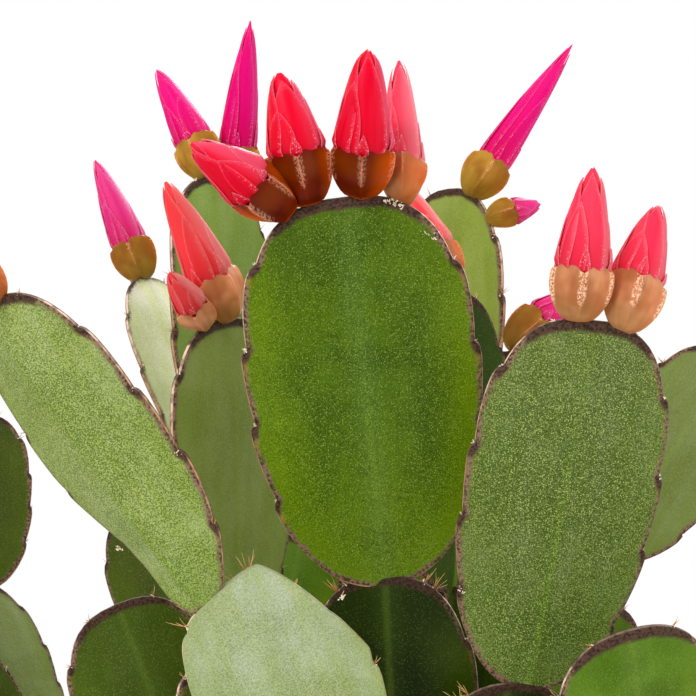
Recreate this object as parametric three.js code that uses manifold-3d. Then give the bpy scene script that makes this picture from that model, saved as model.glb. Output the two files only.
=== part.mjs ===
// A potted Easter cactus: flat, scalloped stem segments that branch upwards from rooted shoots,
// flower buds on the tips of the upper ones, the soil that holds the shoots, and a plain clay pot.
// Millimetres, +Z up, -Y is the front. The origin is the centre of the pot's flat underside.
import * as THREE from "three";
import { mergeVertices } from "three/addons/utils/BufferGeometryUtils.js";
import Module from "manifold-3d";

const wasm = await Module();
wasm.setup();

// ---------------------------------------------------------------- driving dimensions
const POT = {
  height: 104,
  baseRadius: 44,
  topRadius: 58,
  wall: 5,
  floor: 8,
  rimHeight: 20,
  rimProud: 4,
  rimTaper: 0.8, // how much narrower the rim is at its lower edge
  rimEdge: 0.6, // bevel of that edge
  groove: [0.4, 1], // depth and height of the groove just below the rim
  rounding: 1.5,
  cove: 2, // bevel where the inner wall meets the floor
  sides: 28,
  drains: 3,
  drainRadius: 4.5,
  drainRing: 24,
  drainSides: 10,
};
const SOIL = {
  edgeHeight: 93,
  mound: 3,
  rings: [18, 37],
  gap: 0.4,
  roughness: 0.9,
  waveX: [0.41, 1.3], // radians a millimetre and starting angle of the crumbled surface's waves
  waveY: [0.37, -0.4],
  waveAcross: 0.83,
  acrossShare: 0.6,
};
const FOOT = {
  radius: 2.6,
  neckRadius: 2.1,
  depth: 12,
  rise: 4.5,
  sides: 8,
  gap: 0.4,
  top: 97,
  overlap: 1.5, // how far the first segment starts below the foot's upper end
};
const CUT_PAST = 1; // how far a cutting solid runs past the face it cuts
const SEGMENT = {
  widest: 0.55, // share of the length at which the segment is widest
  bluntBase: 2.2, // exponents of the oval's two ends: 2 is an ellipse, more is squarer
  bluntTip: 2.6,
  neck: 2.4, // half width at the joint
  sunk: 2, // how far a segment's foot reaches into the one that carries it
  edge: 0.55, // half thickness at the margin
  rib: 1.3, // half thickness along the midrib
  notchesRight: [0.2, 0.41, 0.61, 0.82],
  notchesLeft: [0.26, 0.46, 0.65, 0.86],
  notchDepth: 0.35,
  shoulder: 0.6, // how far the lobe below a notch stands out of the oval
  shoulderDrop: 0.035,
  ribStations: [0.14, 0.5, 0.87],
  ends: [0.05, 0.965], // shares of the length between which the margin follows the oval
};
const BRISTLE = {
  length: 2.8,
  radius: 0.22,
  sunk: 0.8,
  notchShare: 0.16, // share of the notches that carry one
  lean: [0.5, 1], // sideways and upward parts of its direction at a notch
  tipSeat: [0.85, 0.96], // where one sits beside the tip: share of the half width, share of the length
  tipWidthAt: 0.95,
  tipSpread: [0.2, 0.9],
  tipTilt: 0.3,
};
const BUD = {
  cupLength: 6.2, // the cup under the petals
  cupRadius: 4,
  cupAngles: 5,
  cupLevels: [[0.22, 0], [0.66, 0.22], [0.98, 0.65], [1, 1]], // share of its radius, share of its length
  ridge: 0.09,
  seatGap: 0.35,
  lift: 0.9, // clearance over the segment that carries it
  turn: 0.3, // of its ridges about its axis, in radians
  petals: 5,
  petalRadius: 0.97, // of the closed petals over the cup's
  petalStep: 0.7, // how far the outer petals' tips stand off the inner ones
  blunt: [2.2, 0.9], // exponents of a young bud's profile
  slender: 1.35, // and of a long pointed one's
};
// Rings of the closed petals from the cup upwards. Each gives, for the long outer petals, for the short
// ones and for the places between them, a share of the bud's length and the petal steps out of its skin.
const PETAL_RINGS = [
  { long: [0, -0.4], short: [0, -0.4], between: [0, -0.4] },
  { long: [0.24, 0.5], short: [0.24, 0.5], between: [0.24, 0] },
  { long: [0.66, 1], short: [0.56, 1], between: [0.36, 0.4] },
  { long: [0.64, -0.2], short: [0.54, -0.2], between: [0.42, -0.1] },
  { long: [0.84, -0.3], short: [0.84, -0.3], between: [0.84, 0.4] },
];
const COLOUR = { clay: 0xb5643c, soil: 0x3a2a1e, stem: 0x4f7a24, cup: 0x9a4a14, petal: 0xe8113c };
const ROUGHNESS = { clay: 0.85, soil: 1, stem: 0.6, cup: 0.45, petal: 0.4 };

// ---------------------------------------------------------------- small helpers
const point = (x, y, z) => new THREE.Vector3(x, y, z);
const radians = THREE.MathUtils.degToRad;
const UP = point(0, 0, 1);
const FRONT = point(0, -1, 0);
const STEEP = 0.9; // a direction that rises more than this takes the front as its guide

// A seeded draw between 0 and 1, the same on every run.
const RANDOM_STEP = 16807;
const RANDOM_SPAN = 2147483647;
let randomState = 20611;
function draw(low = 0, high = 1) {
  randomState = (randomState * RANDOM_STEP) % RANDOM_SPAN;
  return low + ((high - low) * randomState) / RANDOM_SPAN;
}

// A closed three.js geometry as a manifold-3d solid, and back.
function solidOf(geometry) {
  const bare = geometry.clone();
  bare.deleteAttribute("normal");
  bare.deleteAttribute("uv");
  const merged = mergeVertices(bare, 1e-4);
  const mesh = new wasm.Mesh({
    numProp: 3,
    vertProperties: merged.attributes.position.array,
    triVerts: new Uint32Array(merged.index.array),
  });
  return new wasm.Manifold(mesh);
}

function geometryOf(solid) {
  const mesh = solid.getMesh();
  const geometry = new THREE.BufferGeometry();
  geometry.setAttribute("position", new THREE.BufferAttribute(mesh.vertProperties, 3));
  geometry.setIndex(new THREE.BufferAttribute(mesh.triVerts, 1));
  geometry.computeVertexNormals();
  return geometry;
}

function facets(points, faces) {
  const geometry = new THREE.BufferGeometry().setFromPoints(points);
  geometry.setIndex(faces.flat());
  return solidOf(geometry);
}

const fuse = (solids) => solids.reduce((whole, piece) => whole.add(piece));

// Rings of equal length, joined from the first to the last and capped at both ends. A ring of one
// point closes to that point.
function loft(rings) {
  const points = rings.flat();
  const faces = [];
  const count = Math.max(...rings.map((ring) => ring.length));
  let start = 0;
  rings.slice(1).forEach((ring, index) => {
    const below = rings[index];
    const next = start + below.length;
    for (let i = 0; i < count; i += 1) {
      const j = (i + 1) % count;
      if (below.length > 1 && ring.length > 1) {
        faces.push([start + i, start + j, next + j], [start + i, next + j, next + i]);
      } else if (ring.length === 1) {
        faces.push([start + i, start + j, next]);
      } else {
        faces.push([start, next + j, next + i]);
      }
    }
    start = next;
  });
  const last = rings[rings.length - 1];
  for (let i = 1; i < count - 1; i += 1) {
    if (rings[0].length > 1) faces.push([0, i + 1, i]);
    if (last.length > 1) faces.push([start, start + i, start + i + 1]);
  }
  return facets(points, faces);
}

// A right-handed frame whose third axis runs from one point to another.
function axisFrame(from, to, turn) {
  const along = to.clone().sub(from);
  const length = along.length();
  along.normalize();
  const guide = Math.abs(along.z) < STEEP ? UP : FRONT;
  const across = guide.clone().cross(along).normalize().applyAxisAngle(along, turn);
  return { from, along, across, through: along.clone().cross(across), length };
}

const inFrame = (frame, radius, angle, height) =>
  frame.from
    .clone()
    .addScaledVector(frame.across, radius * Math.cos(angle))
    .addScaledVector(frame.through, radius * Math.sin(angle))
    .addScaledVector(frame.along, height);

// ---------------------------------------------------------------- pot and soil
const potInnerRadius = (height) =>
  POT.baseRadius - POT.wall + ((POT.topRadius - POT.baseRadius) * height) / POT.height;

function cylinder(radius, low, high, sides, x, y) {
  const geometry = new THREE.CylinderGeometry(radius, radius, high - low, sides);
  geometry.rotateX(Math.PI / 2);
  geometry.translate(x, y, (low + high) / 2);
  return solidOf(geometry);
}

function turned(profile, sides) {
  const points = profile.map(([radius, height]) => new THREE.Vector2(radius, height));
  const geometry = new THREE.LatheGeometry(points, sides);
  geometry.rotateX(Math.PI / 2);
  return geometry;
}

function makePot() {
  const { height, baseRadius, topRadius, wall, floor, rimHeight, rounding: r, cove } = POT;
  const rimLow = height - rimHeight;
  const outer = (z) => potInnerRadius(z) + wall;
  const rim = topRadius + POT.rimProud;
  const rimFoot = rim - POT.rimTaper;
  const profile = [
    [0, 0],
    [baseRadius - r, 0],
    [outer(r), r],
    [outer(rimLow) - POT.groove[0], rimLow - POT.groove[1]],
    [rimFoot - POT.rimEdge, rimLow],
    [rimFoot, rimLow + r],
    [rim, height - 2 * r],
    [rim - r, height],
    [potInnerRadius(height) + r, height],
    [potInnerRadius(height), height - r],
    [potInnerRadius(floor + cove), floor + cove],
    [potInnerRadius(floor) - cove, floor],
    [0, floor],
  ];
  let pot = solidOf(turned(profile, POT.sides));
  for (let i = 0; i < POT.drains; i += 1) {
    const angle = (i * 2 * Math.PI) / POT.drains + Math.PI / 2;
    const x = POT.drainRing * Math.cos(angle);
    const y = POT.drainRing * Math.sin(angle);
    const drain = cylinder(POT.drainRadius, -CUT_PAST, floor + CUT_PAST, POT.drainSides, x, y);
    pot = pot.subtract(drain);
  }
  return pot;
}

// Height of the soil's crumbled surface.
function soilHeight(x, y) {
  const { edgeHeight, mound, roughness, waveX, waveY, waveAcross, acrossShare } = SOIL;
  const share = Math.hypot(x, y) / potInnerRadius(edgeHeight);
  const squares = Math.sin(x * waveX[0] + waveX[1]) * Math.cos(y * waveY[0] + waveY[1]);
  const crumbs = squares + acrossShare * Math.sin((x + y) * waveAcross);
  return edgeHeight + mound * (1 - share * share) + roughness * crumbs;
}

function makeSoil(feet) {
  const { edgeHeight, rings, gap } = SOIL;
  const { cove } = POT;
  const low = POT.floor + gap;
  const wallRadius = (z) => potInnerRadius(z) - gap;
  const profile = [
    [0, low],
    [wallRadius(low + cove) - cove, low],
    [wallRadius(low + cove), low + cove],
    [wallRadius(edgeHeight), edgeHeight],
    ...rings.toReversed().map((radius) => [radius, edgeHeight]),
    [0, edgeHeight],
  ];
  const geometry = turned(profile, POT.sides);
  const position = geometry.attributes.position;
  for (let i = 0; i < position.count; i += 1) {
    const [x, y, z] = [position.getX(i), position.getY(i), position.getZ(i)];
    const onTop = Math.abs(z - edgeHeight) < gap && Math.hypot(x, y) < wallRadius(edgeHeight) - gap;
    if (onTop) position.setZ(i, soilHeight(x, y));
  }
  let soil = solidOf(geometry);
  for (const [x, y] of feet) {
    const socketFloor = FOOT.top - FOOT.depth - FOOT.gap;
    soil = soil.subtract(cylinder(FOOT.radius + FOOT.gap, socketFloor, POT.height, FOOT.sides, x, y));
  }
  return soil;
}

// ---------------------------------------------------------------- one stem segment
// A segment is placed by the point where it grows, its tip and the compass angle that its flat face
// looks towards: 0 is the front, 90 the right. arch bows it along its face, and fold lifts its two
// halves from the midrib like an open book.
function segmentFrame({ base, tip, face, width, arch = 0, fold = 0 }) {
  const along = tip.clone().sub(base);
  const length = along.length();
  along.normalize();
  const look = point(Math.sin(radians(face)), -Math.cos(radians(face)), 0);
  const normal = look.addScaledVector(along, -look.dot(along)).normalize();
  return { base, tip, along, normal, side: along.clone().cross(normal), length, width, arch, fold };
}

function onSegment(s, x, t, lift = 0) {
  const bow = s.arch * 4 * t * (1 - t) + s.fold * Math.abs(x);
  return s.base
    .clone()
    .addScaledVector(s.along, t * s.length)
    .addScaledVector(s.side, x)
    .addScaledVector(s.normal, bow + lift);
}

// Half width of the smooth oval at a share t of the length, without its notches.
function ovalHalfWidth(s, t) {
  const { widest, bluntBase, bluntTip } = SEGMENT;
  const low = t < widest;
  const reach = low ? (widest - t) / widest : (t - widest) / (1 - widest);
  const power = low ? bluntBase : bluntTip;
  return (s.width / 2) * Math.pow(Math.max(0, 1 - Math.pow(reach, power)), 1 / power);
}

// One margin from the joint to just below the tip, as [half width, share of the length]: each notch
// has a lobe standing out just below it, and the margin runs in from there to the next notch down.
function margin(s, notches) {
  const { neck, notchDepth, shoulder, shoulderDrop, ends } = SEGMENT;
  const edge = [
    [neck, 0],
    [Math.max(neck, ovalHalfWidth(s, ends[0])), ends[0]],
  ];
  for (const t of notches) {
    const drop = t - shoulderDrop;
    edge.push([ovalHalfWidth(s, drop) + shoulder, drop]);
    edge.push([ovalHalfWidth(s, t) - notchDepth, t]);
  }
  edge.push([ovalHalfWidth(s, ends[1]), ends[1]]);
  return edge;
}

// The blade: its outline on both faces, raised to the midrib along the middle of each.
function makeSegment(s) {
  const { edge, rib, sunk, ribStations, notchesRight, notchesLeft } = SEGMENT;
  const right = margin(s, notchesRight);
  const left = margin(s, notchesLeft).map(([x, t]) => [-x, t]);
  const outline = [...right, [0, 1], ...left.toReversed()];
  const foot = -sunk / s.length;
  const points = [];
  for (const sign of [1, -1]) {
    for (const [x, t] of outline) points.push(onSegment(s, x, t === 0 ? foot : t, sign * edge));
    for (const t of ribStations) points.push(onSegment(s, 0, t, sign * rib));
  }
  const count = outline.length;
  const back = count + ribStations.length;
  const nearestRib = ([, t]) => {
    const gaps = ribStations.map((r) => Math.abs(r - t));
    return count + gaps.indexOf(Math.min(...gaps));
  };
  const faces = [];
  outline.forEach((here, i) => {
    const j = (i + 1) % count;
    const rimTriangles = [[i, j, nearestRib(here)]];
    for (let r = nearestRib(here); r !== nearestRib(outline[j]); ) {
      const step = r + Math.sign(nearestRib(outline[j]) - r);
      rimTriangles.push([j, step, r]);
      r = step;
    }
    for (const [a, b, c] of rimTriangles) {
      faces.push([a, b, c], [back + b, back + a, back + c]);
    }
    faces.push([j, i, back + i], [j, back + i, back + j]);
  });
  return facets(points, faces);
}

// A bristle is a slim three-sided needle.
function makeBristle(root, direction) {
  const start = root.clone().addScaledVector(direction, -BRISTLE.sunk);
  const end = root.clone().addScaledVector(direction, BRISTLE.length);
  const frame = axisFrame(start, end, 0);
  const ring = [0, 1, 2].map((i) => inFrame(frame, BRISTLE.radius, (i * 2 * Math.PI) / 3, 0));
  return loft([ring, [end]]);
}

// A segment has one beside its tip and a few at its notches.
function makeBristles(s) {
  const found = [];
  const { notchesRight, notchesLeft, notchDepth } = SEGMENT;
  for (const [side, notches] of [[1, notchesRight], [-1, notchesLeft]]) {
    for (const t of notches) {
      if (draw() > BRISTLE.notchShare) continue;
      const x = side * (ovalHalfWidth(s, t) - notchDepth);
      const direction = s.side.clone().multiplyScalar(side * draw(...BRISTLE.lean));
      direction.addScaledVector(s.along, draw(...BRISTLE.lean)).normalize();
      found.push(makeBristle(onSegment(s, x, t), direction));
    }
  }
  const { tipSeat, tipWidthAt, tipSpread, tipTilt } = BRISTLE;
  const side = draw() < 0.5 ? -1 : 1;
  const x = side * ovalHalfWidth(s, tipWidthAt) * tipSeat[0];
  const direction = s.along.clone().addScaledVector(s.side, side * draw(...tipSpread));
  direction.addScaledVector(s.normal, draw(-tipTilt, tipTilt)).normalize();
  found.push(makeBristle(onSegment(s, x, tipSeat[1]), direction));
  return found;
}

// ---------------------------------------------------------------- the plant's own shape
// Each shoot has a foot in the soil and its segments from the bottom up. "on" is the number of the
// segment that carries this one in the same shoot, and "at" where on it: [share of its half width,
// share of its length]. What has no "on" grows from the foot. "grow" adds that many more segments by
// the rule further down.
const SHOOTS = [
  {
    name: "front_middle",
    foot: [5, -37],
    grow: 2,
    segments: [
      { tip: [8, -50, 132], face: 10, width: 20 },
      { on: 0, tip: [5, -62, 180], face: -5, width: 24, arch: 0.4 },
      { on: 1, tip: [-0.5, -68, 231], face: 2, width: 31, arch: 1 },
    ],
  },
  {
    name: "front_left",
    foot: [-4, -43],
    grow: 1,
    segments: [
      { tip: [1, -72, 140], face: -10, width: 22 },
      { on: 0, tip: [-13, -86, 185.5], face: 6, width: 24, arch: -1 },
      { on: 1, at: [-0.52, 0.9], tip: [-45, -88, 218], face: -45, width: 21.5, fold: -0.22 },
    ],
  },
  {
    name: "front_right",
    foot: [22, -33],
    grow: 1,
    segments: [
      { tip: [24, -51, 119], face: 15, width: 17 },
      { on: 0, tip: [21, -65, 166], face: 8, width: 23 },
      { on: 1, at: [0.25, 0.97], tip: [31.5, -76, 215.3], face: 8, width: 26, fold: -0.06 },
    ],
  },
  {
    name: "right_low",
    foot: [41, -20],
    grow: 3,
    segments: [
      { tip: [43, -60, 131], face: 10, width: 20 },
      { on: 0, tip: [35.5, -84, 176.5], face: 10, width: 25 },
    ],
  },
  {
    name: "middle_left",
    foot: [-18, -22],
    grow: 2,
    segments: [
      { tip: [-17, -33, 134], face: -20, width: 21 },
      { on: 0, tip: [-16, -40, 168], face: 30, width: 20 },
      { on: 1, tip: [-17, -42, 213.5], face: 50, width: 25 },
    ],
  },
  {
    name: "middle",
    foot: [12, -12],
    grow: 1,
    segments: [
      { tip: [14, -13, 135], face: 35, width: 21 },
      { on: 0, tip: [16, -14, 171], face: -20, width: 20 },
      { on: 1, tip: [15.3, -10, 216], face: 44, width: 26 },
    ],
  },
  {
    name: "middle_right",
    foot: [32, 0],
    grow: 2,
    segments: [
      { tip: [33, 1, 126], face: 60, width: 19 },
      { on: 0, tip: [30, 4, 160], face: 10, width: 20 },
      { on: 1, tip: [26.7, 8, 205.5], face: 30, width: 25 },
    ],
  },
  {
    name: "back_middle_left",
    foot: [-13, 10],
    grow: 2,
    segments: [
      { tip: [-16, 14, 142], face: -50, width: 23 },
      { on: 0, tip: [-20, 22, 187.5], face: 20, width: 23 },
      { on: 1, tip: [-22, 26, 233], face: 54, width: 26 },
    ],
  },
  {
    name: "back_left",
    foot: [-14, 32],
    grow: 3,
    segments: [
      { tip: [-14, 40, 133], face: 200, width: 20 },
      { on: 0, tip: [-19, 46, 174.5], face: 150, width: 23 },
      { on: 1, tip: [-36, 54, 215], face: 64, width: 25 },
    ],
  },
  {
    name: "back_right",
    foot: [15, 17],
    grow: 3,
    segments: [
      { tip: [17, 22, 141], face: 160, width: 22 },
      { on: 0, tip: [19, 28, 185.5], face: 30, width: 23 },
      { on: 1, tip: [17, 32, 231], face: -50, width: 24 },
    ],
  },
  {
    name: "far_left",
    foot: [-38, -8],
    grow: 5,
    segments: [{ tip: [-62, -16, 129], face: -75, width: 22 }],
  },
  {
    name: "left",
    foot: [-34, 18],
    grow: 5,
    segments: [{ tip: [-54, 32, 132], face: 240, width: 22 }],
  },
  {
    name: "back",
    foot: [6, 40],
    grow: 5,
    segments: [{ tip: [8, 62, 133], face: 185, width: 22 }],
  },
  {
    name: "right",
    foot: [38, 24],
    grow: 5,
    segments: [{ tip: [62, 34, 130], face: 110, width: 22 }],
  },
];

// Where the buds of the shoots above sit, what they point to and how slender they are: sharp 0 is a
// young blunt bud, 1 a long pointed one. Buds in one row share one base.
const BUD_CLUSTERS = [
  {
    name: "front_a",
    on: ["front_middle", 2],
    buds: [
      { at: [-0.52, 0.975], tip: [-20.2, -75, 238], sharp: 0.25 },
      { at: [-0.31, 0.995], tip: [-9, -69, 247.3], sharp: 0.3 },
    ],
  },
  {
    name: "front_b",
    on: ["front_middle", 2],
    buds: [{ at: [0.15, 1], tip: [2.6, -73.5, 250], sharp: 0 }],
  },
  {
    name: "front_c",
    on: ["front_middle", 2],
    buds: [{ at: [0.53, 0.965], tip: [7, -51, 249.5], size: 0.75, sharp: 0.35 }],
  },
  {
    name: "right_a",
    on: ["front_right", 2],
    buds: [
      { at: [-0.17, 1], tip: [31.2, -78, 235], sharp: 0.3 },
      { at: [0.32, 0.985], tip: [40.5, -70, 230], sharp: 0.4 },
    ],
  },
  {
    name: "middle_left_a",
    on: ["middle_left", 2],
    buds: [
      { at: [0, 1], tip: [-25.5, -46, 233], sharp: 0.5 },
      { at: [-0.4, 0.98], tip: [-24.5, -53, 220.5], size: 0.45, sharp: 0.5 },
    ],
  },
  {
    name: "middle_a",
    on: ["middle", 2],
    buds: [{ at: [0, 1], tip: [8.5, -7, 232], sharp: 0.4 }],
  },
  {
    name: "middle_right_a",
    on: ["middle_right", 2],
    buds: [{ at: [0, 1], tip: [37, 10, 214.5], sharp: 0.4 }],
  },
  {
    name: "back_middle_left_a",
    on: ["back_middle_left", 2],
    buds: [
      { at: [-0.1, 1], tip: [-32, 30, 251], sharp: 0.7 },
      { at: [0.4, 0.98], tip: [-16, 24, 259], sharp: 0.8 },
    ],
  },
  {
    name: "back_left_a",
    on: ["back_left", 2],
    buds: [{ at: [0, 1], tip: [-45, 58, 236], sharp: 0.7 }],
  },
  {
    name: "back_right_a",
    on: ["back_right", 2],
    buds: [{ at: [0.5, 0.965], tip: [38, 34, 255.5], sharp: 1 }],
  },
  {
    name: "back_right_b",
    on: ["back_right", 2],
    buds: [{ at: [0.84, 0.86], tip: [32, 26, 228.5], size: 0.4, sharp: 0.4 }],
  },
];

// ---------------------------------------------------------------- the rule that fills in the rest
const GROWTH = {
  tries: 60,
  clearance: 3.4, // between the middles of two segments' faces
  kinClearance: 0.7, // share of that between a segment and its carrier or its twin
  kinFrom: 0.35, // share of the length from which that counts
  seat: [0.4, 0.95], // where a branch starts: share of the half width, share of the length
  arch: 1,
  length: [36, 47],
  slimness: [0.48, 0.58], // width over length
  spread: [14, 38], // degrees that a branch leans to one side of its carrier
  outward: [-0.1, 0.4], // how strongly it turns away from the pot's axis
  upward: 0.35, // and how strongly towards the light
  twist: 38, // most that its face turns against its carrier's
  reach: 112, // nothing grows further out than this
  ceiling: 206,
  lowest: 101,
  lowestOutside: 89, // of what hangs beside the pot
  rimClear: 4,
  childrenEach: 2,
  budCount: 6, // pairs of buds added on the outer tips
  budLength: [18, 25],
  budSwing: [23, 28], // degrees that each of a pair leans away from the other
  budLean: 0.2,
  budSeat: [0.1, 0.99],
  budSize: 0.85,
  budSharp: 0.5,
  budShorter: 0.8, // length of the second of a pair over the first
  budGap: 5.5,
};
// Air that stays open: the space ahead of the front shoots, and the sky between the tall middle ones.
const OPEN_AIR = {
  frontY: -50,
  frontHalf: 46,
  skyY: -66, // depth at which the sky has the two sizes below; it widens and drops behind that
  skyHalf: 36,
  skyHeight: 204,
  skyWiden: 0.09,
  skyDrop: 0.085,
};

const placed = []; // every segment so far, in the order in which it was placed

function insideOpenAir(p) {
  const back = p.y - OPEN_AIR.skyY;
  const inFront = p.y < OPEN_AIR.frontY && Math.abs(p.x) < OPEN_AIR.frontHalf;
  const half = OPEN_AIR.skyHalf + OPEN_AIR.skyWiden * back;
  const inSky = Math.abs(p.x) < half && p.z > OPEN_AIR.skyHeight - OPEN_AIR.skyDrop * back;
  return inFront || inSky;
}

function hitsPot(p) {
  const radius = Math.hypot(p.x, p.y);
  const overRim = radius > potInnerRadius(POT.height) - GROWTH.rimClear;
  const besideRim = radius > POT.topRadius + POT.rimProud + GROWTH.rimClear;
  if (besideRim) return p.z < GROWTH.lowestOutside;
  return p.z < (overRim ? POT.height + GROWTH.rimClear : GROWTH.lowest);
}

const TOUCH_SPAN = [0.04, 0.96]; // shares of the length between which a blade has a width to touch

// Whether a point lies within "gap" of a segment's blade.
function touches(s, p, gap) {
  const offset = p.clone().sub(s.base);
  const height = offset.dot(s.along);
  if (height < -gap || height > s.length + gap) return false;
  const t = THREE.MathUtils.clamp(height / s.length, ...TOUCH_SPAN);
  const x = offset.dot(s.side);
  if (Math.abs(x) > ovalHalfWidth(s, t) + gap) return false;
  const bow = s.arch * 4 * t * (1 - t) + s.fold * Math.abs(x);
  return Math.abs(offset.dot(s.normal) - bow) < gap;
}

const STATIONS = [0.08, 0.2, 0.35, 0.5, 0.65, 0.8, 0.92, 1];
const ACROSS = [-1, -0.5, 0, 0.5, 1];
function samples(s, from = 0) {
  const found = [];
  for (const t of STATIONS.filter((station) => station >= from)) {
    for (const share of ACROSS) found.push(onSegment(s, share * ovalHalfWidth(s, t), t));
  }
  return found;
}

// A new segment is clear if no part of it, past its own joint, comes near anything placed before.
function isClear(s, carrier) {
  const { clearance, kinClearance, kinFrom } = GROWTH;
  const own = samples(s);
  const strays = (p) => Math.hypot(p.x, p.y) > GROWTH.reach || p.z > GROWTH.ceiling;
  if (own.some((p) => insideOpenAir(p) || hitsPot(p) || strays(p))) return false;
  return placed.every((other) => {
    const kin = other === carrier || other.carrier === carrier;
    const gap = kin ? clearance * kinClearance : clearance;
    const mine = kin ? samples(s, kinFrom) : own;
    if (mine.some((p) => touches(other, p, gap))) return false;
    return other === carrier || !samples(other, kin ? kinFrom : 0).some((p) => touches(s, p, gap));
  });
}

// One try at a branch: the carrier's direction leaned to a side, then turned outwards.
function tryBranch(carrier, side) {
  const length = draw(...GROWTH.length);
  const lean = side * radians(draw(...GROWTH.spread));
  const along = carrier.along.clone().applyAxisAngle(carrier.normal, -lean);
  const outward = point(carrier.tip.x, carrier.tip.y, 0).normalize();
  along.addScaledVector(outward, draw(...GROWTH.outward));
  along.addScaledVector(UP, GROWTH.upward).normalize();
  const twist = radians(draw(-GROWTH.twist, GROWTH.twist));
  const look = carrier.normal.clone().applyAxisAngle(carrier.along, twist);
  const [seatShare, seatHeight] = GROWTH.seat;
  const base = onSegment(carrier, side * seatShare * ovalHalfWidth(carrier, seatHeight), seatHeight);
  return segmentFrame({
    base,
    tip: base.clone().addScaledVector(along, length),
    face: THREE.MathUtils.radToDeg(Math.atan2(look.x, -look.y)),
    width: length * draw(...GROWTH.slimness),
    arch: draw(-GROWTH.arch, GROWTH.arch),
  });
}

// A shoot gets that many branches, from its lowest segment upwards, left and right in turn.
function growShoot(shoot, count) {
  let left = count;
  let side = 1;
  for (let i = 0; i < shoot.segments.length && left > 0; i += 1) {
    const carrier = shoot.segments[i];
    for (let child = 0; child < GROWTH.childrenEach && left > 0; child += 1) {
      side = -side;
      for (let attempt = 0; attempt < GROWTH.tries; attempt += 1) {
        const branch = tryBranch(carrier, side);
        if (!isClear(branch, carrier)) continue;
        branch.carrier = carrier;
        shoot.segments.push(branch);
        placed.push(branch);
        left -= 1;
        break;
      }
    }
  }
}

const TIP_SEAT = [0, 0.97]; // where a segment sits on the one below unless its row says otherwise

function placeShoots() {
  const shoots = SHOOTS.map(({ name, foot, segments }) => {
    const start = point(foot[0], foot[1], FOOT.top + FOOT.rise - FOOT.overlap);
    const built = [];
    for (const { on, at = TIP_SEAT, tip, ...rest } of segments) {
      const carrier = built[on];
      const base = carrier ? onSegment(carrier, at[0] * (carrier.width / 2), at[1]) : start;
      const made = segmentFrame({ base, tip: point(...tip), ...rest });
      made.carrier = carrier;
      built.push(made);
      placed.push(made);
    }
    return { name, foot, segments: built };
  });
  shoots.forEach((shoot, i) => growShoot(shoot, SHOOTS[i].grow));
  return shoots;
}

// ---------------------------------------------------------------- buds
// A bud's cup is five-angled and opens from a narrow seat. Its petals are a pointed core with
// overlapping scales round it.
function budFrame(s, { at, tip, size = 1, sharp }) {
  const base = onSegment(s, (at[0] * s.width) / 2, at[1] + BUD.lift / s.length);
  const frame = axisFrame(base, tip.isVector3 ? tip : point(...tip), BUD.turn);
  return { ...frame, size: Math.sqrt(size), sharp };
}

function makeCup(bud) {
  const radius = BUD.cupRadius * bud.size;
  const height = BUD.cupLength * bud.size;
  const sides = 2 * BUD.cupAngles;
  return loft(
    BUD.cupLevels.map(([wide, high]) =>
      Array.from({ length: sides }, (_, i) => {
        const ridge = i % 2 ? 1 - BUD.ridge : 1 + BUD.ridge;
        return inFrame(bud, radius * wide * ridge, (i * 2 * Math.PI) / sides, height * high);
      }),
    ),
  );
}

// Radius of the closed petals at a share of their length.
function budRadius(bud, share) {
  const blunt = Math.pow(1 - Math.pow(share, BUD.blunt[0]), BUD.blunt[1]);
  const slender = Math.pow(1 - share, BUD.slender);
  const fullness = blunt + (slender - blunt) * bud.sharp;
  return BUD.cupRadius * BUD.petalRadius * bud.size * fullness;
}

// The closed petals in one turned skin: five outer ones whose pointed tips stand off, and above them
// the inner ones, set half a step round. Even points are the middles of the outer petals.
function makePetals(bud) {
  const start = BUD.cupLength * bud.size + BUD.seatGap;
  const span = bud.length - start;
  const step = BUD.petalStep * bud.size;
  const rings = PETAL_RINGS.map(({ long, short, between }) =>
    Array.from({ length: 2 * BUD.petals }, (_, i) => {
      const outer = i % 4 === 0 ? long : short;
      const [share, steps] = i % 2 === 0 ? outer : between;
      const angle = (i * Math.PI) / BUD.petals;
      return inFrame(bud, budRadius(bud, share) + steps * step, angle, start + share * span);
    }),
  );
  return loft([...rings, [inFrame(bud, 0, 0, bud.length)]]);
}

const BUD_STATIONS = [0.35, 0.6, 0.85, 1]; // where along a bud its surroundings are tested

// Two buds on an outer tip that the growth rule made, if there is room for them.
function outerCluster(s, name) {
  const { budSwing, budLean, budLength, budSeat, budShorter, budGap } = GROWTH;
  const swing = radians(draw(...budSwing));
  const length = draw(...budLength);
  const root = onSegment(s, 0, 1);
  const buds = [-1, 1].map((side) => {
    const direction = s.along.clone().applyAxisAngle(s.normal, -side * swing);
    direction.addScaledVector(s.normal, side * budLean).normalize();
    const tip = root.clone().addScaledVector(direction, length * (side > 0 ? 1 : budShorter));
    return { at: [side * budSeat[0], budSeat[1]], tip, size: GROWTH.budSize, sharp: GROWTH.budSharp };
  });
  const blocked = buds.some((bud) =>
    BUD_STATIONS.some((share) => {
      const p = root.clone().lerp(bud.tip, share);
      return insideOpenAir(p) || placed.some((other) => other !== s && touches(other, p, budGap));
    }),
  );
  return blocked ? null : { name, segment: s, buds };
}

function placeClusters(shoots) {
  const found = BUD_CLUSTERS.map(({ name, on: [shootName, index], buds }) => {
    const shoot = shoots.find((one) => one.name === shootName);
    return { name, segment: shoot.segments[index], buds };
  });
  const carriers = new Set(placed.map((s) => s.carrier));
  const budded = new Set(found.map((cluster) => cluster.segment));
  const tips = placed.filter((s) => !carriers.has(s) && !budded.has(s));
  tips.sort((a, b) => b.tip.z - a.tip.z);
  let added = 0;
  for (const s of tips) {
    if (added === GROWTH.budCount) break;
    const cluster = outerCluster(s, `outer_${String.fromCharCode(97 + added)}`);
    if (!cluster) continue;
    found.push(cluster);
    added += 1;
  }
  return found;
}

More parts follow.
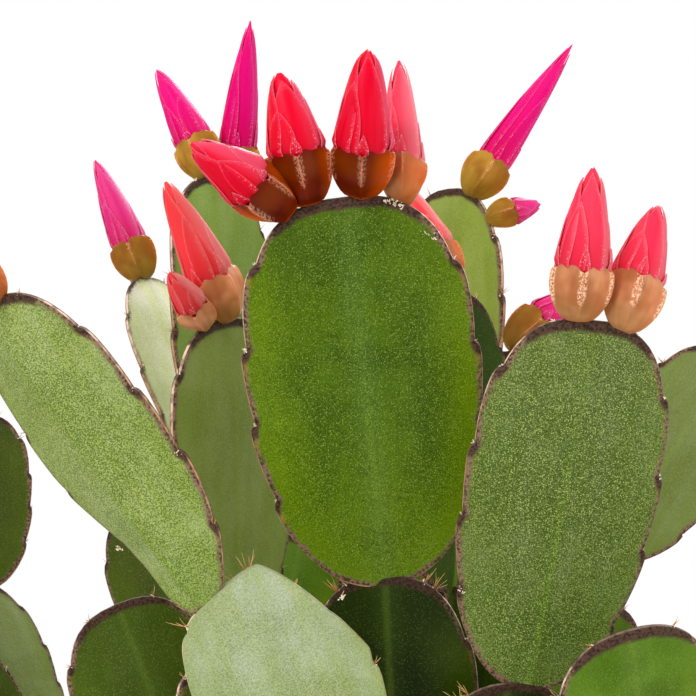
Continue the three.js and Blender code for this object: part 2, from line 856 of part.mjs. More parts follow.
// ---------------------------------------------------------------- build the scene graph
const plant = new THREE.Group();

function addNode(name, solid, color, roughness) {
  const material = new THREE.MeshStandardMaterial({ color, roughness, metalness: 0 });
  const mesh = new THREE.Mesh(geometryOf(solid), material);
  mesh.name = name;
  plant.add(mesh);
}

function makeFoot([x, y]) {
  const { radius, neckRadius, depth, rise, sides, top } = FOOT;
  const geometry = new THREE.CylinderGeometry(neckRadius, radius, depth + rise, sides);
  geometry.rotateX(Math.PI / 2);
  geometry.translate(x, y, top + (rise - depth) / 2);
  return solidOf(geometry);
}

const shoots = placeShoots();
const clusters = placeClusters(shoots);

addNode("pot", makePot(), COLOUR.clay, ROUGHNESS.clay);
addNode("soil", makeSoil(shoots.map((shoot) => shoot.foot)), COLOUR.soil, ROUGHNESS.soil);
for (const shoot of shoots) {
  const blades = shoot.segments.map((s) => makeSegment(s));
  const bristles = shoot.segments.flatMap(makeBristles);
  const whole = fuse([makeFoot(shoot.foot), ...blades, ...bristles]);
  addNode(`shoot_${shoot.name}`, whole, COLOUR.stem, ROUGHNESS.stem);
}
for (const { name, segment, buds } of clusters) {
  const frames = buds.map((bud) => budFrame(segment, bud));
  addNode(`bud_cup_${name}`, fuse(frames.map(makeCup)), COLOUR.cup, ROUGHNESS.cup);
  frames.forEach((bud, i) => {
    addNode(`bud_petals_${name}${i + 1}`, makePetals(bud), COLOUR.petal, ROUGHNESS.petal);
  });
}

export default plant;
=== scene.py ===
# %% [markdown]
# # A potted Easter cactus
# This cactus has no leaves. It is a crowd of flat stem segments, each growing out of the tip of the
# one below, with scalloped margins, small tufts of bristles in the notches and, in spring, pointed
# buds on the last segments. The plain solids of the plant are already there as a frame. Here every
# one of them gets the surface, the thin margins and the layered petals that a real plant shows.
# %% Load the frame
import math

import bpy
import numpy as np
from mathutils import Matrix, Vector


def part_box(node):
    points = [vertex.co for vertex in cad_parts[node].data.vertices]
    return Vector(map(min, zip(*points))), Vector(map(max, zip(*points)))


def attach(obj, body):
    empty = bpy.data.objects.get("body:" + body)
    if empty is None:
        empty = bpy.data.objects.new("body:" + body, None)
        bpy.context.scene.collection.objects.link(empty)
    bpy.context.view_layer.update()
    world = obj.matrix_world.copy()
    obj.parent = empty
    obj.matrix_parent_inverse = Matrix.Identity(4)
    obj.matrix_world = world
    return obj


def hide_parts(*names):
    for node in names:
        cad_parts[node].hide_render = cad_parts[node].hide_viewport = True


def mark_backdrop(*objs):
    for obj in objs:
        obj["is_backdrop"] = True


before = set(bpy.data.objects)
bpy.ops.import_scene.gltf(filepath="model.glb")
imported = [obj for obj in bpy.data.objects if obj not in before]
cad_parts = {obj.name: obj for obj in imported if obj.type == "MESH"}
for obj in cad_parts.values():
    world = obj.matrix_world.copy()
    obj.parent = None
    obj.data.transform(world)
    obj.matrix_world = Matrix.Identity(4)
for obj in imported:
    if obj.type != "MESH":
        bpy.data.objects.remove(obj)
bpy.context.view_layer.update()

MM = 0.001

# %% [markdown]
# ## Camera
# The plant is seen from just above its shoulders, at arm's length, so the tallest segment fills the
# middle and the pot stays below the picture. A long lens keeps the segments from bulging. The camera
# is set first, because everything after it is judged through it.
# %% Camera
VIEW_HEIGHT = 4.0  # degrees above the horizon
VIEW_WIDTH = 92 * MM  # what the picture spans at the tallest segment
VIEW_DISTANCE = 356 * MM
VIEW_TARGET = (0.0, -66 * MM, 211 * MM)

camera_data = bpy.data.cameras.new("camera")
camera_data.sensor_width = 36
camera_data.lens = 36 * VIEW_DISTANCE / VIEW_WIDTH
camera_data.clip_start = 0.01
camera = bpy.data.objects.new("camera", camera_data)
bpy.context.collection.objects.link(camera)
slope = math.radians(VIEW_HEIGHT)
camera.location = (
    VIEW_TARGET[0],
    VIEW_TARGET[1] - VIEW_DISTANCE * math.cos(slope),
    VIEW_TARGET[2] + VIEW_DISTANCE * math.sin(slope),
)
camera.rotation_euler = (math.pi / 2 - slope, 0, 0)
bpy.context.scene.camera = camera
print("camera: lens", round(camera_data.lens, 1), "mm, at", [round(v, 3) for v in camera.location])

# %% [markdown]
# ## How the plant branches
# The shoots that face the front have a fixed place for every segment. The others grow by a rule: a
# new segment leans away from the one that carries it, and it is kept only where it touches nothing.
# The solids of the frame follow the same table and the same rule, so the fine pieces made here land
# exactly on them. All of it is in millimetres and turned to metres when a mesh is made.
# %% One segment's place and shape
WIDEST, BLUNT_BASE, BLUNT_TIP = 0.55, 2.2, 2.6


def unit(v):
    return v / np.linalg.norm(v)


def rotated(v, axis, angle):
    """A vector turned about an axis, by an angle in radians."""
    c, s = math.cos(angle), math.sin(angle)
    return v * c + np.cross(axis, v) * s + axis * np.dot(axis, v) * (1 - c)


class Segment:
    """A flat stem segment: where it starts and ends, how it is turned, how it bows and folds."""

    def __init__(self, base, tip, face, width, arch=0.0, fold=0.0):
        self.base, self.tip = np.array(base, float), np.array(tip, float)
        self.width, self.arch, self.fold = width, arch, fold
        self.length = np.linalg.norm(self.tip - self.base)
        self.along = (self.tip - self.base) / self.length
        look = np.array([math.sin(math.radians(face)), -math.cos(math.radians(face)), 0.0])
        self.normal = unit(look - self.along * np.dot(look, self.along))
        self.side = np.cross(self.along, self.normal)
        self.carrier = None

    def bow(self, x, t):
        """How far the blade leaves its plane, x to the side, at a share t of the length."""
        return self.arch * 4 * t * (1 - t) + self.fold * abs(x)

    def at(self, x, t):
        """A point on the middle sheet of the blade."""
        foot = self.base + self.along * t * self.length
        return foot + self.side * x + self.normal * self.bow(x, t)

    def half_width(self, t):
        """Half the width of the smooth oval at a share t of the length."""
        t = np.asarray(t, float)
        reach = np.where(t < WIDEST, (WIDEST - t) / WIDEST, (t - WIDEST) / (1 - WIDEST))
        power = np.where(t < WIDEST, BLUNT_BASE, BLUNT_TIP)
        return self.width / 2 * np.power(np.maximum(0.0, 1 - np.power(reach, power)), 1 / power)


example = Segment((0, 0, 0), (0, 0, 50), 0, 30)
print("half width of a 30 mm blade:", [round(float(example.half_width(t)), 1) for t in (0.1, 0.5, 0.9)])

# %% [markdown]
# ## The front shoots
# Each row of the table is one segment: which one carries it and where, the place of its tip, the
# compass angle of its face (0 looks to the front, 90 to the right) and its width.
# %% The shoots and their segments, in millimetres
FOOT_START = 100.0
SHOOTS = {
    "front_middle": dict(foot=(5, -37), grow=2, segments=[
        dict(tip=(8, -50, 132), face=10, width=20),
        dict(on=0, tip=(5, -62, 180), face=-5, width=24, arch=0.4),
        dict(on=1, tip=(-0.5, -68, 231), face=2, width=31, arch=1),
    ]),
    "front_left": dict(foot=(-4, -43), grow=1, segments=[
        dict(tip=(1, -72, 140), face=-10, width=22),
        dict(on=0, tip=(-13, -86, 185.5), face=6, width=24, arch=-1),
        dict(on=1, at=(-0.52, 0.9), tip=(-45, -88, 218), face=-45, width=21.5, fold=-0.22),
    ]),
    "front_right": dict(foot=(22, -33), grow=1, segments=[
        dict(tip=(24, -51, 119), face=15, width=17),
        dict(on=0, tip=(21, -65, 166), face=8, width=23),
        dict(on=1, at=(0.25, 0.97), tip=(31.5, -76, 215.3), face=8, width=26, fold=-0.06),
    ]),
    "right_low": dict(foot=(41, -20), grow=3, segments=[
        dict(tip=(43, -60, 131), face=10, width=20),
        dict(on=0, tip=(35.5, -84, 176.5), face=10, width=25),
    ]),
    "middle_left": dict(foot=(-18, -22), grow=2, segments=[
        dict(tip=(-17, -33, 134), face=-20, width=21),
        dict(on=0, tip=(-16, -40, 168), face=30, width=20),
        dict(on=1, tip=(-17, -42, 213.5), face=50, width=25),
    ]),
    "middle": dict(foot=(12, -12), grow=1, segments=[
        dict(tip=(14, -13, 135), face=35, width=21),
        dict(on=0, tip=(16, -14, 171), face=-20, width=20),
        dict(on=1, tip=(15.3, -10, 216), face=44, width=26),
    ]),
    "middle_right": dict(foot=(32, 0), grow=2, segments=[
        dict(tip=(33, 1, 126), face=60, width=19),
        dict(on=0, tip=(30, 4, 160), face=10, width=20),
        dict(on=1, tip=(26.7, 8, 205.5), face=30, width=25),
    ]),
    "back_middle_left": dict(foot=(-13, 10), grow=2, segments=[
        dict(tip=(-16, 14, 142), face=-50, width=23),
        dict(on=0, tip=(-20, 22, 187.5), face=20, width=23),
        dict(on=1, tip=(-22, 26, 233), face=54, width=26),
    ]),
    "back_left": dict(foot=(-14, 32), grow=3, segments=[
        dict(tip=(-14, 40, 133), face=200, width=20),
        dict(on=0, tip=(-19, 46, 174.5), face=150, width=23),
        dict(on=1, tip=(-36, 54, 215), face=64, width=25),
    ]),
    "back_right": dict(foot=(15, 17), grow=3, segments=[
        dict(tip=(17, 22, 141), face=160, width=22),
        dict(on=0, tip=(19, 28, 185.5), face=30, width=23),
        dict(on=1, tip=(17, 32, 231), face=-50, width=24),
    ]),
    "far_left": dict(foot=(-38, -8), grow=5, segments=[dict(tip=(-62, -16, 129), face=-75, width=22)]),
    "left": dict(foot=(-34, 18), grow=5, segments=[dict(tip=(-54, 32, 132), face=240, width=22)]),
    "back": dict(foot=(6, 40), grow=5, segments=[dict(tip=(8, 62, 133), face=185, width=22)]),
    "right": dict(foot=(38, 24), grow=5, segments=[dict(tip=(62, 34, 130), face=110, width=22)]),
}
print("placed segments:", {name: len(plan["segments"]) for name, plan in SHOOTS.items()})

# %% [markdown]
# ## The rule that grows the rest
# A seeded draw gives each try its length, lean and twist. A try is thrown away if a grid of points on
# its face comes close to another segment, to the pot, or to the open air between the tall shoots.
# %% Growth limits, in millimetres and degrees
TRIES, CHILDREN_EACH = 60, 2  # draws for each branch, and branches that each segment may carry
LENGTH, SLIMNESS = (36, 47), (0.48, 0.58)  # slimness is the width as a share of the length
SPREAD, OUTWARD, UPWARD, TWIST = (14, 38), (-0.1, 0.4), 0.35, 38
BRANCH_ACROSS, BRANCH_AT = 0.4, 0.95  # where a branch leaves its carrier, as shares of it
CLEARANCE, KIN_SHARE = 3.4, 0.7  # the gap to all others, and the share of it that kin need
REACH, CEILING, LOWEST, RIM_CLEAR, OUTSIDE_DROP = 112, 206, 101, 4, 12
POT_HEIGHT, POT_BASE, POT_TOP, POT_WALL, POT_RIM_PROUD = 104.0, 44.0, 58.0, 5.0, 4.0
FRONT_Y, FRONT_HALF = -50, 46  # nothing grows in front of the front shoots
SKY_START, SKY_HALF, SKY_WIDEN, SKY_HEIGHT, SKY_DROP = -66, 36, 0.09, 204, 0.085
UP = np.array([0.0, 0.0, 1.0])
RANDOM_STEP, RANDOM_SPAN = 16807, 2147483647
random_state = 20611


def draw(low=0.0, high=1.0):
    """A seeded draw between low and high, the same on every run."""
    global random_state
    random_state = random_state * RANDOM_STEP % RANDOM_SPAN
    return low + (high - low) * random_state / RANDOM_SPAN


def pot_inner_radius(z):
    """Radius of the pot's inside at a height, in mm."""
    return POT_BASE - POT_WALL + (POT_TOP - POT_BASE) * z / POT_HEIGHT


print("radius inside the pot's mouth:", pot_inner_radius(POT_HEIGHT), "mm")

# %% Tests for room
STATIONS, ACROSS = (0.08, 0.2, 0.35, 0.5, 0.65, 0.8, 0.92, 1), (-1, -0.5, 0, 0.5, 1)
BLADE_ENDS = (0.04, 0.96)  # shares of the length between which a blade has its full outline


def in_open_air(p):
    """Whether a point lies in front of the shoots, or in the sky between the tall ones."""
    back = p[:, 1] - SKY_START
    in_front = (p[:, 1] < FRONT_Y) & (abs(p[:, 0]) < FRONT_HALF)
    in_sky = (abs(p[:, 0]) < SKY_HALF + SKY_WIDEN * back) & (p[:, 2] > SKY_HEIGHT - SKY_DROP * back)
    return (in_front | in_sky).any()


def hits_pot(p):
    """Whether a point comes too near the soil, the rim or the outside of the pot."""
    radius = np.hypot(p[:, 0], p[:, 1])
    over_rim = radius > pot_inner_radius(POT_HEIGHT) - RIM_CLEAR
    beside_rim = radius > POT_TOP + POT_RIM_PROUD + RIM_CLEAR
    floor = np.where(over_rim, POT_HEIGHT + RIM_CLEAR, LOWEST)
    return (p[:, 2] < np.where(beside_rim, LOWEST - OUTSIDE_DROP, floor)).any()


def touches(segment, p, gap):
    """Whether any of the points lies within gap of the segment's blade."""
    offset = p - segment.base
    height = offset @ segment.along
    t = np.clip(height / segment.length, *BLADE_ENDS)
    x = offset @ segment.side
    near = (height >= -gap) & (height <= segment.length + gap)
    near &= abs(x) <= segment.half_width(t) + gap
    near &= abs(offset @ segment.normal - segment.bow(x, t)) < gap
    return near.any()


def samples(segment, start=0.0):
    """A grid of points on the blade, from a share of its length upwards."""
    shares = [t for t in STATIONS if t >= start]
    rows = [(t, share * segment.half_width(t)) for t in shares for share in ACROSS]
    return np.array([segment.at(x, t) for t, x in rows])


print("points tested on a blade:", len(samples(example)))

# %% Growing
PAST_JOINT = 0.35  # kin may touch below this share of the length
placed = []


def is_clear(candidate, carrier):
    """Whether a new segment stays inside the limits and clear of all that is placed."""
    own = samples(candidate)
    if (np.hypot(own[:, 0], own[:, 1]) > REACH).any() or (own[:, 2] > CEILING).any():
        return False
    if in_open_air(own) or hits_pot(own):
        return False
    late = samples(candidate, PAST_JOINT)
    for other in placed:
        kin = other is carrier or other.carrier is carrier
        gap = CLEARANCE * KIN_SHARE if kin else CLEARANCE
        if touches(other, late if kin else own, gap):
            return False
        if other is not carrier and touches(candidate, other.late if kin else other.all, gap):
            return False
    return True


def try_branch(carrier, side):
    """A branch drawn at random, which may not have room."""
    length = draw(*LENGTH)
    lean = side * math.radians(draw(*SPREAD))
    along = rotated(carrier.along, carrier.normal, -lean)
    outward = unit(np.array([carrier.tip[0], carrier.tip[1], 0.0]))
    along = unit(along + outward * draw(*OUTWARD) + UP * UPWARD)
    look = rotated(carrier.normal, carrier.along, math.radians(draw(-TWIST, TWIST)))
    base = carrier.at(side * BRANCH_ACROSS * carrier.half_width(BRANCH_AT), BRANCH_AT)
    face = math.degrees(math.atan2(look[0], -look[1]))
    width = length * draw(*SLIMNESS)
    return Segment(base, base + along * length, face, width, arch=draw(-1, 1))


# %% Placing and growing the segments
def keep(segment, shoot):
    """Adds a segment to its shoot and to all that others have to keep clear of."""
    segment.all, segment.late = samples(segment), samples(segment, PAST_JOINT)
    shoot.append(segment)
    placed.append(segment)


def place_row(shoot, foot, on=None, at=(0, 0.97), **shape):
    """One row of the table: a segment on another one of its shoot, or on the foot."""
    carrier = None if on is None else shoot[on]
    start = (*foot, FOOT_START)
    base = start if carrier is None else carrier.at(at[0] * carrier.width / 2, at[1])
    made = Segment(base, **shape)
    made.carrier = carrier
    keep(made, shoot)


def grow(shoot, count):
    """Adds up to count branches to a shoot, by turns on both sides."""
    side = 1
    for carrier in shoot:  # the list grows while it is walked, so new segments branch as well
        for _ in range(CHILDREN_EACH):
            if not count:
                return
            side = -side
            for _ in range(TRIES):
                branch = try_branch(carrier, side)
                if is_clear(branch, carrier):
                    branch.carrier = carrier
                    keep(branch, shoot)
                    count -= 1
                    break


shoots = {name: [] for name in SHOOTS}
for name, plan in SHOOTS.items():
    for row in plan["segments"]:
        place_row(shoots[name], plan["foot"], **row)
for name, plan in SHOOTS.items():
    grow(shoots[name], plan["grow"])
print("segments:", {name: len(shoot) for name, shoot in shoots.items()})

# %% [markdown]
# ## Where the buds sit
# Buds stand on the tips of the last segments, in ones and twos. Each has a place on its segment, a
# point where it ends and a number for how slender it is. The outer segments that the rule grew get
# pairs of buds too, where there is room.
# %% Buds, in millimetres
CUP_HEIGHT, CUP_RADIUS, PETAL_GAP = 6.2, 4.0, 0.35
SEAT_LIFT, BUD_TURN = 0.9, 0.3  # how far a bud's foot stands out, and its turn in radians
BUD_CLUSTERS = {
    "front_a": ("front_middle", [
        dict(at=(-0.52, 0.975), tip=(-20.2, -75, 238), sharp=0.25),
        dict(at=(-0.31, 0.995), tip=(-9, -69, 247.3), sharp=0.1),
    ]),
    "front_b": ("front_middle", [dict(at=(0.15, 1), tip=(2.6, -73.5, 250), sharp=0)]),
    "front_c": ("front_middle", [dict(at=(0.49, 0.975), tip=(7, -51, 249.5), size=0.66, sharp=0.2)]),
    "right_a": ("front_right", [
        dict(at=(-0.17, 1), tip=(31.2, -78, 235), sharp=0.3),
        dict(at=(0.32, 0.985), tip=(40.5, -70, 230), sharp=0.4),
    ]),
    "middle_left_a": ("middle_left", [
        dict(at=(0, 1), tip=(-25.5, -46, 233), sharp=0.5),
        dict(at=(-0.4, 0.98), tip=(-24.5, -53, 220.5), size=0.45, sharp=0.5),
    ]),
    "middle_a": ("middle", [dict(at=(0, 1), tip=(8.5, -7, 232), sharp=0.4)]),
    "middle_right_a": ("middle_right", [dict(at=(0, 1), tip=(37, 10, 214.5), sharp=0.4)]),
    "back_middle_left_a": ("back_middle_left", [
        dict(at=(-0.1, 1), tip=(-32, 30, 251), sharp=0.7),
        dict(at=(0.4, 0.98), tip=(-16, 24, 259), sharp=0.8),
    ]),
    "back_left_a": ("back_left", [dict(at=(0, 1), tip=(-45, 58, 236), sharp=0.7)]),
    "back_right_a": ("back_right", [dict(at=(0.5, 0.965), tip=(38, 34, 255.5), sharp=1)]),
    "back_right_b": ("back_right", [dict(at=(0.84, 0.86), tip=(32, 26, 228.5), size=0.4, sharp=0.4)]),
}
TOP_SEGMENT = 2  # the one with the buds, counted from the foot


class Bud:
    """A bud's own axes: along it, across it and through it, with its length and size."""

    def __init__(self, segment, at, tip, sharp, size=1.0):
        self.base = segment.at(at[0] * segment.width / 2, at[1] + SEAT_LIFT / segment.length)
        self.length = np.linalg.norm(np.array(tip, float) - self.base)
        self.along = (np.array(tip, float) - self.base) / self.length
        guide = UP if abs(self.along[2]) < 0.9 else np.array([0.0, -1.0, 0.0])
        self.across = rotated(unit(np.cross(guide, self.along)), self.along, BUD_TURN)
        self.through = np.cross(self.along, self.across)
        self.size, self.sharp = math.sqrt(size), sharp

    def at(self, radius, angle, height):
        """Points in the plant's frame for arrays of radius, angle and height along the bud."""
        round_it = np.outer(radius * np.cos(angle), self.across)
        round_it += np.outer(radius * np.sin(angle), self.through)
        return self.base + round_it + np.outer(height, self.along)


# %% Pairs of buds for the free tips, in millimetres and degrees
OUTER_COUNT, OUTER_SIZE, OUTER_SHARP, OUTER_AT = 6, 0.85, 0.5, (0.1, 0.99)
OUTER_SWING, OUTER_LENGTH, OUTER_SHORTER, OUTER_LEAN = (23, 28), (18, 25), 0.8, 0.2
OUTER_GAP, OUTER_WATCHED = 5.5, (0.35, 0.6, 0.85, 1)  # the room a bud needs, at these shares of it


def outer_buds(segment):
    """A pair of buds for a tip, or None where they have no room."""
    swing, length = math.radians(draw(*OUTER_SWING)), draw(*OUTER_LENGTH)
    root = segment.at(0, 1)
    found = []
    for side in (-1, 1):
        leaning = rotated(segment.along, segment.normal, -side * swing)
        leaning += segment.normal * side * OUTER_LEAN
        tip = root + unit(leaning) * length * (1 if side > 0 else OUTER_SHORTER)
        way = np.array([root + (tip - root) * share for share in OUTER_WATCHED])
        others = [other for other in placed if other is not segment]
        if in_open_air(way) or any(touches(other, way, OUTER_GAP) for other in others):
            return None
        at = (side * OUTER_AT[0], OUTER_AT[1])
        found.append(dict(at=at, tip=tip, size=OUTER_SIZE, sharp=OUTER_SHARP))
    return found


# %% Placing every cluster
clusters = {name: (shoots[on][TOP_SEGMENT], buds) for name, (on, buds) in BUD_CLUSTERS.items()}
taken = {id(segment.carrier) for segment in placed} | {id(segment) for segment, _ in clusters.values()}
free_tips = [segment for segment in placed if id(segment) not in taken]
for segment in sorted(free_tips, key=lambda one: -one.tip[2]):
    number = len(clusters) - len(BUD_CLUSTERS)
    found = outer_buds(segment) if number < OUTER_COUNT else None
    if found:
        clusters["outer_" + "abcdef"[number]] = (segment, found)
clusters = {name: [Bud(segment, **bud) for bud in buds] for name, (segment, buds) in clusters.items()}
misses = []
for name, buds in clusters.items():
    for number, bud in enumerate(buds, 1):
        low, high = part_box(f"bud_petals_{name}{number}")
        tip = (bud.base + bud.along * bud.length) * MM
        misses += [max(low[i] - tip[i], tip[i] - high[i]) for i in range(3)]
print("clusters:", list(clusters))
print("the furthest bud tip outside its solid:", round(max(misses) / MM, 3), "mm")

# %% [markdown]
# ## Tools for finishes
# Every finish is a tree of shader nodes. A small helper adds a node and wires its inputs in one
# line, so each material below reads as a list of what the surface shows. Colours are written as they
# look on a screen and turned to the linear values that shaders use.
# %% Node helpers
def linear(red, green, blue):
    """A colour written as 0 to 255 on the screen, as the linear colour a shader uses."""
    parts = [c / 255 for c in (red, green, blue)]
    return tuple(c / 12.92 if c < 0.04045 else ((c + 0.055) / 1.055) ** 2.4 for c in parts) + (1.0,)


def add_node(tree, kind, inputs=None, **settings):
    """A node with its settings, and each input set to a number or wired to another node's socket."""
    made = tree.nodes.new(kind)
    for key, value in settings.items():
        setattr(made, key, value)
    for key, value in (inputs or {}).items():
        if isinstance(value, bpy.types.NodeSocket):
            tree.links.new(value, made.inputs[key])
        else:
            made.inputs[key].default_value = value
    return made


def blend(tree, factor, first, second, way="MIX"):
    """first turned into second by the factor."""
    inputs = {0: factor, 6: first, 7: second}
    return add_node(tree, "ShaderNodeMix", inputs, data_type="RGBA", blend_type=way).outputs[2]


def tinted(tree, colour, tint):
    """The colour multiplied by a tint."""
    return blend(tree, 1.0, colour, tint, "MULTIPLY")


def calculate(tree, operation, first, *others):
    """One number after the other, taken together by a sum node each."""
    for other in others:
        first = add_node(tree, "ShaderNodeMath", {0: first, 1: other}, operation=operation).outputs[0]
    return first


def times(tree, *values):
    return calculate(tree, "MULTIPLY", *values)


def plus(tree, *values):
    return calculate(tree, "ADD", *values)


def minus(tree, first, second):
    return calculate(tree, "SUBTRACT", first, second)


# %% Fading, attributes and materials
def fade(tree, value, start, end, low=0.0, high=1.0):
    """low where the value is at start, high where it is at end, and soft in between."""
    limits = {0: value, 1: start, 2: end, 3: low, 4: high}
    return add_node(tree, "ShaderNodeMapRange", limits, interpolation_type="SMOOTHSTEP").outputs[0]


def attribute(tree, name, output="Fac"):
    """A value that the mesh carries at its points."""
    return add_node(tree, "ShaderNodeAttribute", attribute_name=name).outputs[output]


def new_material(name, **settings):
    """A material with its Principled shader, and that shader's constant sockets set."""
    material = bpy.data.materials.new(name)
    material.use_nodes = True
    shader = material.node_tree.nodes["Principled BSDF"]
    for socket, value in settings.items():
        shader.inputs[socket.replace("_", " ").title().replace("Ior", "IOR")].default_value = value
    return material, material.node_tree, shader


def wire(tree, shader, **sources):
    """Wires sockets of the shader, named with _ for a space."""
    for socket, source in sources.items():
        tree.links.new(source, shader.inputs[socket.replace("_", " ")])


# %% [markdown]
# ## Effects that several finishes share
# Blotches, flecks, fibre streaks and a fine grain turn up on skin, petals, clay and soil alike. Each
# is a node group with its own inputs, built once and placed in a material with its own values.
# %% Shared node groups
def new_group(name, inputs, output):
    """An empty group, with its inputs (None stands for a place) and one output."""
    tree = bpy.data.node_groups.new(name, "ShaderNodeTree")
    for socket, default in inputs.items():
        kind = "NodeSocketVector" if default is None else "NodeSocketFloat"
        made = tree.interface.new_socket(socket, in_out="INPUT", socket_type=kind)
        if default is not None:
            made.default_value = default
    tree.interface.new_socket(output, in_out="OUTPUT", socket_type="NodeSocketFloat")
    return tree, tree.nodes.new("NodeGroupInput").outputs, tree.nodes.new("NodeGroupOutput").inputs


def noise(tree, place, scale, detail):
    inputs = {"Vector": place, "Scale": scale, "Detail": detail}
    return add_node(tree, "ShaderNodeTexNoise", inputs).outputs[0]


def cells(tree, given):
    """Cells of one size all over the surface, at the group's own place and scale."""
    inputs = {"Vector": given["Place"], "Scale": given["Scale"]}
    return add_node(tree, "ShaderNodeTexVoronoi", inputs).outputs


# %% The four effects
def make_blotches():
    """Soft uneven patches: 0 to 1."""
    tree, given, result = new_group("blotches", {"Place": None, "Scale": 100.0, "Detail": 3.0}, "Value")
    patches = noise(tree, given["Place"], given["Scale"], given["Detail"])
    tree.links.new(fade(tree, patches, 0.34, 0.66), result[0])
    return tree


def make_flecks():
    """Small scattered dots: 1 inside a dot. Share is how far a dot reaches into its cell."""
    tree, given, result = new_group("flecks", {"Place": None, "Scale": 2000.0, "Share": 0.3}, "Mask")
    made = cells(tree, given)
    nearness = calculate(tree, "DIVIDE", made["Distance"], given["Share"])
    tone = add_node(tree, "ShaderNodeSeparateColor", {0: made["Color"]}).outputs[0]
    chosen = fade(tree, tone, 0.45, 0.75)
    tree.links.new(times(tree, fade(tree, nearness, 0.5, 1.0, 1.0, 0.0), chosen), result[0])
    return tree


def make_streaks():
    """Fibres that run along a blade or a petal, from its UV map: 0 to 1."""
    tree, given, result = new_group("streaks", {"Across": 300.0, "Lengthways": 30.0}, "Value")
    place = add_node(tree, "ShaderNodeTexCoord").outputs["UV"]
    parts = add_node(tree, "ShaderNodeSeparateXYZ", {0: place}).outputs
    stretched = add_node(tree, "ShaderNodeCombineXYZ", {
        0: times(tree, parts[0], given["Across"]),
        1: times(tree, parts[1], given["Lengthways"]),
    })
    fibres = noise(tree, stretched.outputs[0], 1.0, 3.0)
    tree.links.new(fade(tree, fibres, 0.35, 0.68), result[0])
    return tree


def make_grain():
    """A fine uneven height for a bump: cells with a little noise on top."""
    inputs = {"Place": None, "Scale": 2500.0, "Noise Scale": 900.0}
    tree, given, result = new_group("grain", inputs, "Height")
    dents = times(tree, cells(tree, given)["Distance"], -0.5)
    total = plus(tree, dents, noise(tree, given["Place"], given["Noise Scale"], 4.0))
    tree.links.new(total, result[0])
    return tree


groups = {made.name: made for made in (make_blotches(), make_flecks(), make_streaks(), make_grain())}


def effect(tree, name, **values):
    """One of the shared groups, placed in a material with its own values."""
    made = add_node(tree, "ShaderNodeGroup", node_tree=groups[name])
    if "Place" in made.inputs:
        tree.links.new(add_node(tree, "ShaderNodeTexCoord").outputs["Object"], made.inputs["Place"])
    for socket, value in values.items():
        made.inputs[socket.replace("_", " ")].default_value = value
    return made.outputs[0]


def bump(tree, height, strength, distance):
    """A relief that only the light sees, distance metres deep where the height is 1."""
    settings = {"Height": height, "Strength": strength, "Distance": distance}
    return add_node(tree, "ShaderNodeBump", settings).outputs[0]


print("shared effects:", sorted(groups))

# %% [markdown]
# ## The skin of a segment
# A segment is a leathery green that differs from one to the next, so its base colour is an attribute
# of the mesh, and so is how fresh it is. Over it come, coat by coat, a yellower glow of painted light
# just inside the edge and low down, a greyish bloom in streaks, a painted sheen in broad patches and
# beside the midrib, the lighter rib itself, fine pores, and pale flecks that are partly painted
# glints. The colours are the ones a painter would mix for each coat.
# %% Greens of the stem skin
PATCHY, DEEPEN, BLOOM = linear(214, 220, 168), linear(150, 168, 116), (1.45, 1.32, 3.0, 1)  # tints
# Painted light: the first green is a glow painted near the edge and low down, the second a painted
# sheen.
PAINTED_GLOW, PAINTED_SHEEN, RIB_GREEN = linear(114, 144, 0), linear(106, 134, 58), linear(150, 176, 62)
# Pale dots, partly real flecks and partly painted glints of light.
FLECK_AND_GLINT, FRESH_FLECK_AND_GLINT = linear(184, 202, 112), linear(160, 186, 84)


def paint_greens(tree, edge, share, patches):
    """The blade in patches, painted lighter near the edge and low down, greyish in streaks, with a
    painted sheen in blotches.
    """
    tint, fresh = attribute(tree, "tint", "Color"), attribute(tree, "fresh")
    even = fade(tree, fresh, 0.0, 1.0, 0.3, 1.0)
    colour = blend(tree, times(tree, patches, even), tint, tinted(tree, tint, PATCHY))
    # Painted light: a yellower glow painted just inside the edge and low down, as if lit through the
    # blade.
    edge_glow = fade(tree, edge, 1.2, 8.5, 0.7, 0.0)
    below_crown = fade(tree, share, 0.72, 0.93, 1.0, 0.05)
    colour = blend(tree, times(tree, edge_glow, fresh, below_crown), colour, PAINTED_GLOW)
    low_glow = fade(tree, share, 0.0, 0.6, 0.5, 0.0)
    colour = blend(tree, times(tree, low_glow, fresh), colour, PAINTED_GLOW)
    fibres = effect(tree, "streaks", Across=30.0, Lengthways=6.0)
    fibres = times(tree, fibres, fade(tree, even, 0.3, 1.0, 0.25, 0.4))
    colour = blend(tree, fibres, colour, tinted(tree, colour, BLOOM))
    # A painted sheen in broad blotches.
    wide = effect(tree, "blotches", Scale=75.0, Detail=2.0)
    return blend(tree, times(tree, wide, fresh, 0.14), colour, PAINTED_SHEEN)


def paint_rib(tree, colour, share):
    """A painted sheen beside the midrib, and the paler rib, which fades towards the tip."""
    from_rib = attribute(tree, "from_rib_mm")
    beside = times(tree, fade(tree, from_rib, 0.2, 3.0, 0.35, 0.0), attribute(tree, "fresh"))
    colour = blend(tree, beside, colour, PAINTED_SHEEN)
    on_rib = times(tree, fade(tree, from_rib, 0.1, 0.8, 1.0, 0.0), attribute(tree, "rib"))
    return blend(tree, times(tree, on_rib, fade(tree, share, 0.25, 0.8, 1.0, 0.3)), colour, RIB_GREEN)


